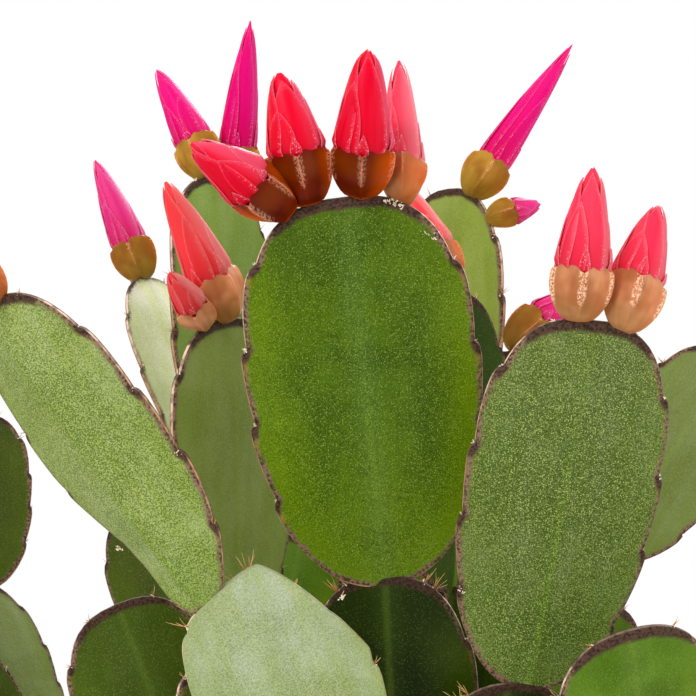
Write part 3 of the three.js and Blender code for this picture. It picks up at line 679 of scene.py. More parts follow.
def paint_flecks(tree, colour, edge, patches):
    """Dark pores, and pale flecks that are partly real and partly painted glints, as strong as the
    blade's own sparkle.
    """
    deep_in, uneven = fade(tree, edge, 1.0, 6.0, 0.75, 1.0), fade(tree, patches, 0.0, 0.8, 0.85, 1.1)
    sparkle = times(tree, attribute(tree, "sparkle"), deep_in, uneven)
    pores = times(tree, effect(tree, "blotches", Scale=5400.0, Detail=3.0), sparkle)
    colour = blend(tree, pores, colour, tinted(tree, colour, DEEPEN))
    # Partly real flecks, partly painted glints.
    flecks_and_glints = times(tree, effect(tree, "flecks", Scale=4700.0, Share=0.46), sparkle, 0.66)
    fleck_and_glint = blend(tree, attribute(tree, "fresh"), FLECK_AND_GLINT, FRESH_FLECK_AND_GLINT)
    return blend(tree, flecks_and_glints, colour, fleck_and_glint)


# %% [markdown]
# ## The margin of a segment
# The edge is a band of purple-brown cork, darker and wider where a notch cuts in, with a spot of
# amber below each notch and a thin peach line on the rim, a painted highlight of light from behind.
# It could be a mesh of its own, but then it would end in a hard line. As a mask on the distance to the
# edge, it frays into the green.
# %% Cork, rim and the whole skin
CORK, CORK_LIGHT = linear(50, 32, 24), linear(156, 122, 102)
# Painted highlight: the peach line where light from behind catches the rim.
RIM_HIGHLIGHT, RIM_HIGHLIGHT_PALE = linear(208, 158, 116), linear(248, 216, 190)
AMBER, FOOT_BARK = linear(206, 160, 0), linear(112, 88, 58)


def paint_cork(tree, colour, edge, notch, amber):
    """The corky band. Gives the colour, the mask of the band and its mottle."""
    uneven = effect(tree, "blotches", Scale=420.0, Detail=3.0)
    mottle = effect(tree, "blotches", Scale=2600.0, Detail=4.0)
    reach = plus(tree, times(tree, uneven, 0.3), times(tree, notch, 0.62))
    reach = plus(tree, minus(tree, reach, times(tree, amber, 0.35)), 0.85)
    reach = times(tree, reach, attribute(tree, "cork"))
    inside = minus(tree, edge, plus(tree, reach, times(tree, mottle, 0.22)))
    corked = fade(tree, inside, -0.5, 0.16, 1.0, 0.0)
    rosy = times(tree, fade(tree, mottle, 0.0, 0.8, 0.1, 1.0), attribute(tree, "rosy_cork"))
    cork = blend(tree, times(tree, rosy, fade(tree, notch, 0.0, 0.6, 1.0, 0.25)), CORK, CORK_LIGHT)
    band = times(tree, corked, fade(tree, attribute(tree, "cork"), 0.0, 0.4))
    return blend(tree, band, colour, cork), corked, mottle


def paint_rim_highlight(tree, colour, edge, notch, share):
    """The peach line on the very rim, a painted highlight of light from behind, broken here and there
    and weak in the notches.
    """
    broken = effect(tree, "blotches", Scale=700.0, Detail=2.0)
    from_rim = minus(tree, edge, attribute(tree, "rim_mm"))
    rim = times(
        tree, fade(tree, from_rim, 0.0, 0.1, 1.0, 0.0), fade(tree, notch, 0.2, 0.7, 1.0, 0.2),
        fade(tree, broken, 0.1, 0.7, 0.35, 1.0),
    )
    return blend(tree, rim, colour, blend(tree, fade(tree, share, 0.55, 0.85), RIM_HIGHLIGHT, RIM_HIGHLIGHT_PALE))


def make_stem_skin():
    material, tree, shader = new_material("stem_skin", specular_ior_level=0.1)
    edge, notch, share = attribute(tree, "edge_mm"), attribute(tree, "notch"), attribute(tree, "share")
    patches = effect(tree, "blotches", Scale=120.0, Detail=5.0)
    colour = paint_rib(tree, paint_greens(tree, edge, share, patches), share)
    colour = paint_flecks(tree, colour, edge, patches)
    amber = times(tree, attribute(tree, "amber"), attribute(tree, "fresh"))
    amber = times(tree, amber, fade(tree, edge, 0.4, 1.3, 1.0, 0.0))
    colour = blend(tree, times(tree, amber, 0.65), colour, AMBER)
    colour = blend(tree, attribute(tree, "bark"), colour, FOOT_BARK)
    colour, corked, mottle = paint_cork(tree, colour, edge, notch, amber)
    colour = paint_rim_highlight(tree, colour, edge, notch, share)
    grain = effect(tree, "grain", Scale=2600.0, Noise_Scale=700.0)
    height = plus(tree, grain, times(tree, corked, mottle))
    rough = plus(tree, fade(tree, patches, 0.0, 1.0, 0.4, 0.5), times(tree, corked, 0.15))
    wire(tree, shader, Base_Color=colour, Roughness=rough, Normal=bump(tree, height, 0.35, 0.00012))
    return material


stem_skin = make_stem_skin()
print("stem skin:", len(stem_skin.node_tree.nodes), "nodes")

# %% [markdown]
# ## Bristles and wool
# Each notch carries a few stiff bristles and a little wool. The bristles are golden brown at the root
# and cream at the point, and the wool is nearly white. The colour runs along each hair through an
# attribute that its mesh carries, so that one finish serves them all.
# %% Finish of the bristles
BRISTLE_ROOT, BRISTLE_TIP = linear(176, 92, 30), linear(240, 196, 120)
BRISTLE_DARK, WOOL_WHITE = linear(120, 64, 30), linear(246, 232, 206)


def make_bristle_finish():
    material, tree, shader = new_material("bristle", roughness=0.5)
    amber = blend(tree, fade(tree, attribute(tree, "along"), 0.1, 0.9), BRISTLE_ROOT, BRISTLE_TIP)
    uneven = effect(tree, "blotches", Scale=500.0, Detail=2.0)
    amber = blend(tree, times(tree, uneven, 0.4), amber, BRISTLE_DARK)
    colour = blend(tree, attribute(tree, "wool"), amber, WOOL_WHITE)
    wire(tree, shader, Base_Color=colour, Normal=bump(tree, effect(tree, "grain"), 0.2, 0.00003))
    return material


bristle_finish = make_bristle_finish()
print("bristle finish:", len(bristle_finish.node_tree.nodes), "nodes")

# %% [markdown]
# ## The cup of a bud
# Below the petals sits a five-angled cup, like a waxed berry: orange where light comes through it,
# maroon low down and on the shaded side. A pale line runs along each of its ridges, dusted with
# scurf, and the cups in front have scurf beside the ridges too. The buds at the back have duller,
# yellow-brown cups, so an attribute blends the two.
# %% Finish of the bud cups
MAROON, RUSSET, PANEL_BROWN = linear(84, 12, 0), linear(116, 30, 0), linear(126, 66, 0)
CUP_RIM_RED, LIT_ORANGE, FIBRE_BROWN = linear(112, 4, 2), linear(246, 100, 0), linear(122, 34, 0)
DULLER, OLIVE_FOOT = linear(206, 190, 168), linear(140, 126, 40)
DUST, SCURF = linear(236, 186, 156), linear(250, 212, 178)
RIDGE_LINE, CUP_EDGE = linear(222, 134, 92), linear(226, 110, 70)


def paint_cup(tree, high, ridge, aged):
    """Maroon and orange in front, the orange painted light on the sunward side and at grazing edges,
    and the cluster's own duller colour where the cup has aged.
    """
    blots = effect(tree, "blotches", Scale=240.0, Detail=2.0)
    warm = blend(tree, blots, MAROON, RUSSET)
    panel = times(tree, fade(tree, ridge, 0.0, 0.4, 0.3, 0.0), fade(tree, high, 0.2, 0.6))
    warm = blend(tree, panel, warm, PANEL_BROWN)
    warm = blend(tree, fade(tree, high, 0.7, 1.0, 0.0, 0.7), warm, CUP_RIM_RED)
    # Painted light: a glow painted where the cup is seen at a grazing angle, as if lit through its
    # edge.
    painted_edge_glow = add_node(tree, "ShaderNodeLayerWeight", {"Blend": 0.3}).outputs["Facing"]
    painted_edge_glow = fade(tree, painted_edge_glow, 0.35, 0.8, 0.0, 0.85)
    lit = calculate(tree, "MAXIMUM", attribute(tree, "lit"), painted_edge_glow)
    lit = times(tree, lit, fade(tree, high, 0.7, 1.0, 1.0, 0.6))
    warm = blend(tree, lit, warm, LIT_ORANGE)
    mature = attribute(tree, "tint", "Color")
    dull = blend(tree, blots, mature, tinted(tree, mature, DULLER))
    dull = blend(tree, fade(tree, high, 0.0, 0.5, 0.4, 0.0), dull, OLIVE_FOOT)
    colour = blend(tree, aged, warm, dull)
    fibres = effect(tree, "streaks", Across=60.0, Lengthways=9.0)
    return blend(tree, times(tree, fibres, 0.22), colour, FIBRE_BROWN), blots


def make_cup_finish():
    material, tree, shader = new_material(
        "bud_cup_skin", specular_ior_level=0.06, coat_weight=0.05, coat_roughness=0.2,
        subsurface_weight=0.3, subsurface_scale=0.0022, subsurface_radius=(1.0, 0.3, 0.06),
    )
    high, ridge, aged = attribute(tree, "high"), attribute(tree, "ridge"), attribute(tree, "aged")
    colour, blots = paint_cup(tree, high, ridge, aged)
    near_ridge = times(
        tree, fade(tree, ridge, 0.03, 0.5, 0.0, 0.8), effect(tree, "blotches", Scale=520.0),
        fade(tree, high, 0.3, 0.9, 0.35, 1.0), fade(tree, aged, 0.3, 0.8, 1.0, 1.7),
    )
    dust = times(tree, near_ridge, effect(tree, "flecks", Scale=4200.0, Share=0.75))
    colour = blend(tree, dust, colour, DUST)
    scurf = fade(tree, effect(tree, "blotches", Scale=3400.0, Detail=2.0), 0.4, 0.65)
    beside = fade(tree, attribute(tree, "flank"), 0.25, 0.7, 0.0, 0.85)
    colour = blend(tree, times(tree, scurf, beside, attribute(tree, "scurf")), colour, SCURF)
    line = times(tree, fade(tree, ridge, 0.6, 0.95, 0.0, 0.75), fade(tree, blots, 0.0, 0.6, 0.5, 1.0))
    colour = blend(tree, line, colour, RIDGE_LINE)
    colour = blend(tree, fade(tree, high, 0.98, 1.0, 0.0, 0.35), colour, CUP_EDGE)
    height = plus(tree, effect(tree, "grain", Scale=1800.0, Noise_Scale=600.0), near_ridge)
    rough = fade(tree, near_ridge, 0.0, 0.6, 0.3, 0.6)
    wire(tree, shader, Base_Color=colour, Roughness=rough, Normal=bump(tree, height, 0.25, 0.00012))
    return material


cup_finish = make_cup_finish()
print("bud cup finish:", len(cup_finish.node_tree.nodes), "nodes")

# %% [markdown]
# ## The petals
# A closed bud is a roll of petals, vivid in the middle of each and painted paler towards its thin
# edge, a painted glow of light through it, with faint veins lengthways. The attribute edge_mm is the
# distance to the edge, so the pale line, a painted highlight, follows every petal at the same width.
# Light passes into the petals a little, which subsurface gives.
# %% Finish of the petals
PETAL_FOOT, PETAL_DUST, PETAL_RIM_HIGHLIGHT = linear(196, 8, 26), linear(255, 205, 210), linear(255, 176, 190)


def make_petal_finish():
    material, tree, shader = new_material(
        "petal_skin", specular_ior_level=0.03, coat_weight=0.06, coat_roughness=0.22,
        subsurface_weight=0.15, subsurface_scale=0.0012, subsurface_radius=(1.0, 0.3, 0.4),
    )
    edge, along = attribute(tree, "edge_mm"), attribute(tree, "along")
    core, rosy = attribute(tree, "tint", "Color"), attribute(tree, "tint_edge", "Color")
    patches = effect(tree, "blotches", Scale=260.0, Detail=2.0)
    fibres = effect(tree, "streaks", Across=55.0, Lengthways=4.0)
    colour = blend(tree, fade(tree, along, 0.0, 0.4, 0.35, 0.0), core, PETAL_FOOT)
    # Painted light: paler on the side of the bud that the light falls on.
    colour = blend(tree, attribute(tree, "painted_light_side"), colour, rosy)
    colour = blend(tree, times(tree, fibres, fade(tree, along, 0.1, 0.9, 0.04, 0.14)), colour, rosy)
    # Painted light: paler towards the thin edge, as if lit through it.
    uneven_edge = plus(tree, edge, times(tree, patches, 0.3))
    colour = blend(tree, fade(tree, uneven_edge, 0.1, 0.8, 0.22, 0.0), colour, rosy)
    dust = times(
        tree, effect(tree, "flecks", Scale=3800.0, Share=0.5), fade(tree, edge, 0.1, 0.8, 0.45, 0.0),
        fade(tree, along, 0.05, 0.35, 1.0, 0.25),
    )
    colour = blend(tree, dust, colour, PETAL_DUST)
    # A painted highlight along the very edge.
    colour = blend(tree, fade(tree, edge, 0.02, 0.09, 0.14, 0.0), colour, PETAL_RIM_HIGHLIGHT)
    height = plus(tree, effect(tree, "grain", Scale=2400.0), times(tree, fibres, 1.5))
    rough = fade(tree, patches, 0.0, 1.0, 0.34, 0.46)
    wire(tree, shader, Base_Color=colour, Roughness=rough, Normal=bump(tree, height, 0.3, 0.00012))
    return material


petal_finish = make_petal_finish()
print("bud finishes:", cup_finish.name, petal_finish.name)

# %% [markdown]
# ## Modelling by hand, in code
# Everything below starts from a primitive and is shaped with edit-mode operators. An operator acts on
# all that is selected, so each step first clears the selection. Masters are modelled once, in
# millimetres, near the origin. Their points are then read out and laid along every segment or bud.
# %% Helpers for edit mode
def deselect():
    if bpy.context.object and bpy.context.object.mode == "EDIT":
        bpy.ops.object.mode_set(mode="OBJECT")
    bpy.ops.object.select_all(action="DESELECT")


def start_ring(count, radius=1.0):
    """A new ring of points, left in edit mode with the ring selected."""
    deselect()
    bpy.ops.mesh.primitive_circle_add(vertices=count, radius=radius, fill_type="NOTHING")
    bpy.ops.object.mode_set(mode="EDIT")
    bpy.ops.mesh.select_all(action="SELECT")
    return bpy.context.object


def next_ring(scale=(1, 1, 1), move=(0, 0, 0), centre=(0, 0, 0)):
    """Extrudes the selected ring, then scales it about the centre and moves it."""
    bpy.ops.mesh.extrude_region()
    bpy.ops.transform.resize(value=scale, center_override=centre)
    bpy.ops.transform.translate(value=move)


def clean(distance=0.0001):
    """Merges points that coincide, turns the faces outward and leaves edit mode."""
    bpy.ops.mesh.select_all(action="SELECT")
    bpy.ops.mesh.remove_doubles(threshold=distance)
    bpy.ops.mesh.normals_make_consistent(inside=False)
    bpy.ops.object.mode_set(mode="OBJECT")


def apply_modifier(piece, kind, **settings):
    made = piece.modifiers.new(kind.lower(), kind)
    for key, value in settings.items():
        setattr(made, key, value)
    bpy.context.view_layer.objects.active = piece
    bpy.ops.object.modifier_apply(modifier=made.name)


UV_SPAN = 100.0  # millimetres that one unit of a UV map stands for


class Master:
    """A modelled piece read out as arrays, ready to be copied: its points, faces and point values."""

    def __init__(self, piece):
        mesh = piece.data
        points = np.empty(len(mesh.vertices) * 3)
        mesh.vertices.foreach_get("co", points)
        self.points = points.reshape(-1, 3)
        self.faces = [tuple(face.vertices) for face in mesh.polygons]
        self.values = {}
        edges = {}
        for face in self.faces:
            for pair in zip(face, face[1:] + face[:1]):
                edges[frozenset(pair)] = edges.get(frozenset(pair), 0) + 1
        self.open_edges = sum(1 for uses in edges.values() if uses != 2)
        bpy.data.objects.remove(piece)


# %% Copies of a master, joined in one mesh
def set_value(mesh, key, value):
    """A value at every point of the mesh. The UV map is the one that goes to the faces' corners."""
    if key == "uv":
        corners = np.empty(len(mesh.loops), int)
        mesh.loops.foreach_get("vertex_index", corners)
        mesh.uv_layers.new(name="surface").data.foreach_set("uv", value[corners].ravel())
    elif value.ndim == 2:
        mesh.attributes.new(key, "FLOAT_COLOR", "POINT").data.foreach_set("color", value.ravel())
    else:
        mesh.attributes.new(key, "FLOAT", "POINT").data.foreach_set("value", value)


def copies(name, batches, material, angle=60):
    """One mesh of many placed copies. A batch is (master, points in mm, values by attribute name)."""
    points, faces, values, start = [], [], {}, 0
    for master, placed_points, own in batches:
        points.append(placed_points)
        faces += [tuple(i + start for i in face) for face in master.faces]
        for key, value in {**master.values, **own}.items():
            value = np.asarray(value, float)
            if value.ndim == 0 or value.shape == (4,):
                value = np.broadcast_to(value, (len(placed_points), *value.shape))
            values.setdefault(key, []).append(value)
        start += len(placed_points)
    mesh = bpy.data.meshes.new(name)
    mesh.from_pydata((np.concatenate(points) * MM).tolist(), [], faces)
    for key, parts in values.items():
        set_value(mesh, key, np.concatenate(parts))
    mesh.materials.append(material)
    piece = bpy.data.objects.new(name, mesh)
    bpy.context.collection.objects.link(piece)
    deselect()
    piece.select_set(True)
    bpy.context.view_layer.objects.active = piece
    bpy.ops.object.shade_smooth_by_angle(angle=math.radians(angle))
    return piece


# %% [markdown]
# ## The master segment
# The real segment is a leathery blade, two to three millimetres thick, with rounded notches and a
# lobe that stands out just below each of them. It could be a flat outline given thickness, but then
# it would look stamped. So its outline is extruded inward ring by ring, each ring a little thicker:
# first a corky bead along the edge, then a slow rise to the midrib. The half is then mirrored.
# %% Outline of the segment
MASTER_WIDTH, MASTER_LENGTH = 31.0, 52.0
NOTCHES = {1: (0.2, 0.41, 0.61, 0.82), -1: (0.26, 0.46, 0.65, 0.86)}
LOBE, NOTCH_DEPTH = 0.42, 0.42  # how far the edge swells below a notch, and is cut in at it
LOBE_FILL, LOBE_RISE, LOBE_DROP = 1.15, 0.7, 18  # a lobe swells soon and drops off sharply
FULL_DEPTH = 0.1  # share of the length from which the notches have their whole depth
NECK, SUNK = 2.2, 1.8  # half the foot's width, and how deep it stands in its carrier
master_frame = Segment((0, 0, 0), (0, 0, MASTER_LENGTH), 0, MASTER_WIDTH)


def lobed(t, side):
    """How far the edge stands out from the smooth oval, in mm: a lobe, then a cut at the notch."""
    marks = [0.0, *NOTCHES[side], 1.0]
    number = min(sum(mark <= t for mark in marks), len(marks) - 1)
    low, high = marks[number - 1], marks[number]
    through = (t - low) / (high - low)
    if high == 1.0:
        return -NOTCH_DEPTH * (1 - through) ** 2
    depth = NOTCH_DEPTH * min(1.0, t / FULL_DEPTH)
    return -depth + (LOBE + depth) * LOBE_FILL * through**LOBE_RISE * (1 - through**LOBE_DROP)


def segment_outline(smooth_count, near):
    """Points all round, from the tip down one side and up the other, with more at every notch."""
    angles = np.linspace(0, math.pi, smooth_count)
    shares = set(np.round(0.5 + 0.5 * np.cos(angles), 4)) - {0.0, 1.0}
    for mark in NOTCHES[1] + NOTCHES[-1]:
        shares |= {round(mark + step, 4) for step in near}
    shares = sorted(shares, reverse=True)
    sides = {}
    for side in (1, -1):
        wide = [max(NECK, float(master_frame.half_width(t)) + lobed(t, side)) for t in shares]
        edge = [(side * x, t * MASTER_LENGTH) for x, t in zip(wide, shares)]
        sides[side] = [*edge, (side * NECK, -SUNK)]
    return [(0, MASTER_LENGTH), *sides[1], (0, -SUNK), *reversed(sides[-1])]


# %% Blade of the segment
RINGS = (  # inset from the edge and half the thickness there, in mm: the bead, the rise and the rib
    (0.03, 0.16), (0.1, 0.34), (0.28, 0.5), (0.75, 0.52), (1.3, 0.5), (3.2, 0.72), (6.5, 0.95),
    (11, 1.18), (15.5, 1.42),
)
LENGTHWAYS = 0.72  # how much of its inset a ring also has at the foot and the tip
FOOT_THIN, FOOT_RISE, FOOT_SLIM = 0.3, 4.0, 0.5  # the foot is thinner, up to 4 mm, and half as wide
NOTCH_SPOT, AMBER_SPOT = 0.9, 0.75  # radii of the two spots by each notch, in mm
SPOT_SQUASH = 0.75  # below 1, the spots are longer along the blade than across it
NOTCH_BELOW, AMBER_INSET, AMBER_BELOW = 0.012, 0.04, 0.042  # where they sit, in shares of the length
CROWN_START, CROWN_RISE, CROWN_HALF, CROWN_DEPTH = 0.9, 0.07, 10, 1.3  # the corky top of the blade


def bell(distance, width):
    """1 where the distance is 0, falling off over the width."""
    return np.exp(-((distance / width) ** 2))


def distances_to_line(points, line):
    """Shortest distance in mm from each point of the blade to the outline, seen from the front."""
    start = np.array(line)
    run = np.roll(start, -1, axis=0) - start
    offset = points[:, None, (0, 2)] - start[None]
    share = np.clip((offset * run).sum(2) / (run**2).sum(1), 0, 1)
    return np.linalg.norm(offset - share[..., None] * run, axis=2).min(1)


def spots(x, z, inset, below, radius):
    """1 at a spot by every notch, falling off over the radius."""
    marks = [(side, mark) for side, found in NOTCHES.items() for mark in found]
    places = [
        (side * float(master_frame.half_width(t - inset)), (t - below) * MASTER_LENGTH)
        for side, t in marks
    ]
    reach = [np.hypot(x - spot_x, (z - spot_z) * SPOT_SQUASH) for spot_x, spot_z in places]
    return bell(np.min(reach, axis=0), radius)


def make_blade(outline):
    """Half a blade, extruded from the outline to the rib ring by ring, and mirrored."""
    piece = start_ring(len(outline))
    bpy.ops.object.mode_set(mode="OBJECT")
    piece.data.vertices.foreach_set("co", [c for x, z in outline for c in (x, 0, z)])
    bpy.ops.object.mode_set(mode="EDIT")
    half_width, half_length = MASTER_WIDTH / 2, MASTER_LENGTH / 2
    before_x = before_z = 1.0
    thickness = 0.0
    for inset, half_thickness in RINGS:
        now_x, now_z = max(1e-6, 1 - inset / half_width), 1 - LENGTHWAYS * inset / half_length
        move = (0, thickness - half_thickness, 0)
        next_ring((now_x / before_x, 1, now_z / before_z), move, (0, 0, half_length))
        before_x, before_z, thickness = now_x, now_z, half_thickness
    clean(0.002)
    apply_modifier(piece, "MIRROR", use_axis=(False, True, False), merge_threshold=0.001)
    bpy.ops.object.mode_set(mode="EDIT")
    clean(0.002)
    return Master(piece)


def make_segment_master(smooth_count, near):
    """A blade with a slim foot, and all that the skin has to know about each of its points."""
    outline = segment_outline(smooth_count, near)
    master = make_blade(outline)
    x, _, z = master.points.T
    master.points[:, 1] *= FOOT_THIN + (1 - FOOT_THIN) * np.clip((z + 0.5) / FOOT_RISE, 0, 1)
    master.points[:, 0] *= 1 - FOOT_SLIM * np.clip(-z / SUNK, 0, 1)
    share = z / MASTER_LENGTH
    crown = np.clip((share - CROWN_START) / CROWN_RISE, 0, 1) * (abs(x) < CROWN_HALF)
    master.values = {
        "edge_mm": np.hypot(distances_to_line(master.points, outline), master.points[:, 1]),
        "notch": np.maximum(spots(x, z, 0.0, NOTCH_BELOW, NOTCH_SPOT), crown * CROWN_DEPTH),
        "amber": spots(x, z, AMBER_INSET, AMBER_BELOW, AMBER_SPOT),
        "share": share,
        "from_rib_mm": abs(x),
        "uv": np.stack([0.5 + x / UV_SPAN, z / UV_SPAN], axis=1),
    }
    return master


fine_segment = make_segment_master(60, (-0.016, -0.01, -0.005, 0, 0.004, 0.01))
plain_segment = make_segment_master(30, (-0.012, 0, 0.008))
for name, master in (("fine", fine_segment), ("plain", plain_segment)):
    print(name, "segment:", len(master.points), "points, open edges:", master.open_edges)

# %% [markdown]
# ## Bristles, and the foot of a shoot
# A bristle is a three-sided needle that bends a little: it is a ring of three points, extruded and
# narrowed three times. The foot is the corky stub that carries the lowest segment out of the soil.
# %% Masters of the bristle and the foot
BRISTLE_TAPER = (0.8, 0.7, 0.45)  # each ring's share of the one below it
FOOT_RADIUS, FOOT_NECK, FOOT_LOW, FOOT_HIGH, FOOT_RINGS = 2.6, 2.1, 85.0, 101.5, 9
FOOT_SWELL, FOOT_BEAT = 0.05, 1.9  # how much thicker and thinner it gets, and how often


def make_bristle_master():
    piece = start_ring(3)
    bpy.ops.mesh.edge_face_add()
    for scale in BRISTLE_TAPER:
        next_ring((scale, scale, 1), (0, 0, 1 / len(BRISTLE_TAPER)))
    clean()
    master = Master(piece)
    master.values = {"along": master.points[:, 2].copy()}
    return master


def foot_radius(ring):
    """Radius of the foot at one of its rings: it tapers, and swells a little here and there."""
    taper = FOOT_RADIUS + (FOOT_NECK - FOOT_RADIUS) * ring / FOOT_RINGS
    return taper * (1 + FOOT_SWELL * math.sin((ring - 1) * FOOT_BEAT)) if ring else taper


def make_foot_master():
    piece = start_ring(20, FOOT_RADIUS)
    bpy.ops.mesh.edge_face_add()
    rise = (FOOT_HIGH - FOOT_LOW) / FOOT_RINGS
    for ring in range(FOOT_RINGS):
        ratio = foot_radius(ring + 1) / foot_radius(ring)
        next_ring((ratio, ratio, 1), (0, 0, rise))
    clean()
    master = Master(piece)
    x, y, z = master.points.T
    uv = np.stack([np.arctan2(y, x) / 20, z / UV_SPAN], axis=1)
    master.values = {"uv": uv, "bark": np.ones(len(z))}
    return master


bristle_master, foot_master = make_bristle_master(), make_foot_master()
for name, master in (("bristle", bristle_master), ("foot", foot_master)):
    print(name + ":", len(master.faces), "faces, open edges:", master.open_edges)

# %% [markdown]
# ## Greens
# Young top segments are a fresh green and the old ones below are dark. Some faces are painted a pale
# grey-green, a painted reflection of the bright surroundings, and the low ones in front are painted
# darker still, a painted shade.
# The table names the green of every placed segment, from the bottom up. The grown ones draw theirs.
# %% The green of each segment
GREENS = {
    "fresh": linear(82, 110, 0),
    # Painted reflection: a pale grey-green for a face that mirrors the bright surroundings.
    "bloomed": linear(184, 196, 144),
    "soft": linear(170, 184, 106),
    # Painted reflection as well, on a greyer green.
    "grey": linear(134, 148, 80),
    "dusk": linear(150, 166, 78),
    # Painted shade: the low segments in front, painted dark as if in shadow.
    "deep": linear(26, 40, 0),
    "dark": linear(38, 62, 0),
    "leafy": linear(92, 128, 24),
    "sunlit": linear(150, 166, 70),
    "light": linear(255, 255, 202),
    "spring": linear(156, 184, 84),
    "moss": linear(74, 92, 22),
    "low": linear(72, 84, 24),
}
GREEN_OF = {
    "front_middle": ("deep", "deep", "fresh"),
    "front_left": ("low", "bloomed", "soft"),
    "front_right": ("low", "deep", "grey"),
    "right_low": ("low", "leafy"),
    "middle_left": ("low", "low", "dusk"),
    "middle": ("dark", "dark", "dark"),
    "middle_right": ("low", "dark", "dark"),
    "back_middle_left": ("low", "leafy", "spring"),
    "back_left": ("low", "leafy", "light"),
    "back_right": ("low", "dark", "sunlit"),
}
GROWN_GREENS = ("low", "moss", "leafy", "low", "grey", "low", "fresh")
DARK_GREENS = ("deep", "dark")
# Four segments in front have values of their own: the strength of the rib and of the sparkle.
FRONT, RIGHT_TOP = ("front_middle", 2), ("front_right", 2)
LEFT_TOP, LEFT_LOW = ("front_left", 2), ("front_left", 1)
RIB_OF = {FRONT: 0.14, RIGHT_TOP: 0.4, LEFT_TOP: 0.4, LEFT_LOW: 0.15}
SPARKLE_OF = {FRONT: 0.86, RIGHT_TOP: 1.5, LEFT_TOP: 1.3, LEFT_LOW: 0.65}
# The broad one on the left grows from its carrier's shoulder: the ends of their joint there, and the
# two lines that the carrier's shoulders are flattened to, in mm across and up the carrier.
JOINT_OF = {LEFT_TOP: ((-8.4, 45.8), (-3.3, 48.3))}
PRESSED = {LEFT_LOW: (((-9.6, 45.0), (0.4, 49.5)), ((1.2, 49.4), (9.6, 36.8)))}
PRESSED_SHARE = 0.3  # what is left of a shoulder beyond its line
JOINT_REACH, JOINT_SPREAD, JOINT_SUNK = 0.24, 0.55, 0.7
JOINT_SLIM, SLIM_REACH, SLIM_FALL = 0.5, 0.5, 1.2  # low down, the blade's outer half is slimmer
JOINT_CORK_SHADE, CORK_SLOPE, CORK_LINE = 0.3, 0.7, 0.9  # the band of cork that crosses the joint, partly cork and partly painted shade in the crease, in mm
FINE_SHOOTS = ("front_middle", "front_left", "front_right", "right_low", "middle_left")
FRESH_OF = {"fresh": 1.0, "leafy": 0.8, "dark": 0.12, "deep": 0.25}
# How far in from the edge the painted rim highlight reaches, in mm, by green.
RIM_OF = {"fresh": 0.3, "grey": 0.14, "soft": 0.05, "bloomed": 0.1, "dusk": 0.14}
CORK_OF = {"fresh": 0.92, "bloomed": 0.12, "soft": 0.6, "grey": 0.8, "deep": 0.6, "light": 0.4}
chance = np.random.default_rng(41)
print("greens:", ", ".join(GREENS))

# %% [markdown]
# ## Laying the blade along a segment
# Each point of the master keeps its share of the length and of the width. It is moved to the
# segment's own place, follows the segment's bow and fold, and takes a slow wave of its own, so that
# no two blades are alike. Distances from the edge are scaled with the blade.
# %% Blade and foot on a shoot
WAVE, SLOW_BEAT, FAST_BEAT = 0.28, 7, 11  # depth of the blade's waves in mm, and how often they come
SHADES = (0.9, 1.08)  # between these, a blade is darker or lighter than its green
FOOT_VALUES = {  # plain old bark, far from any edge or rib
    "rosy_cork": 0.5, "rim_mm": 0.0, "edge_mm": 9.0, "from_rib_mm": 9.0, "notch": 0.0, "share": 0.5,
    "cork": 1.0, "rib": 0.0, "fresh": 0.0, "sparkle": 0.5, "amber": 0.0,
}


def press(x, z, lines):
    """Moves what stands out beyond a line on a blade most of the way back to it."""
    for (x0, z0), (x1, z1) in lines:
        run = math.hypot(x1 - x0, z1 - z0)
        beyond = ((z - z0) * (x1 - x0) - (x - x0) * (z1 - z0)) / run
        back = (1 - PRESSED_SHARE) * np.maximum(beyond, 0)
        x, z = x + back * (z1 - z0) / run, z - back * (x1 - x0) / run
    return x, z


# %% Where a blade leaves a shoulder
def turn_to_joint(points, flat, t, carrier, ends):
    """Turns the lowest part of a blade so that it leaves the carrier's edge in the carrier's plane."""
    x, y, z = flat
    low, high = (carrier.at(across, up / carrier.length) for across, up in ends)
    run = unit(high - low)
    rise = np.cross(carrier.normal, run)
    seat = (low + high) / 2 + np.outer(JOINT_SPREAD * x, run) + np.outer(z - JOINT_SUNK, rise)
    seat = seat - np.outer(y, carrier.normal)
    near = (1 - np.clip(t / JOINT_REACH, 0, 1)) ** 2
    return points + (seat - points) * near[:, None]


# %% Points and values of a blade and a foot
def blade_points(segment, master, key):
    """The master's points laid along a segment, with a slow wave that differs on every blade."""
    x, y, z = master.points.T
    t = np.where(z > 0, z / MASTER_LENGTH, z / segment.length)
    phases = chance.uniform(0, 2 * math.pi, 3)
    across, wide = x / (MASTER_WIDTH / 2), segment.width / MASTER_WIDTH
    slow = WAVE * across * np.sin(SLOW_BEAT * t + phases[0])
    bow = segment.bow(x * wide, t) + (slow + 0.5 * WAVE * across**2 * np.sin(FAST_BEAT * t + phases[1]))
    beside, up = press(x * wide, t * segment.length, PRESSED.get(key, ()))
    if key in JOINT_OF:
        slimmer = JOINT_SLIM * (1 - np.clip(t / SLIM_REACH, 0, 1)) ** SLIM_FALL
        beside = beside * np.where(x < 0, 1 - slimmer, 1)
    points = segment.base + np.outer(up, segment.along) + np.outer(beside, segment.side)
    points = points + np.outer(bow - y, segment.normal)
    if key in JOINT_OF:
        points = turn_to_joint(points, (x, y, z), t, segment.carrier, JOINT_OF[key])
    return points


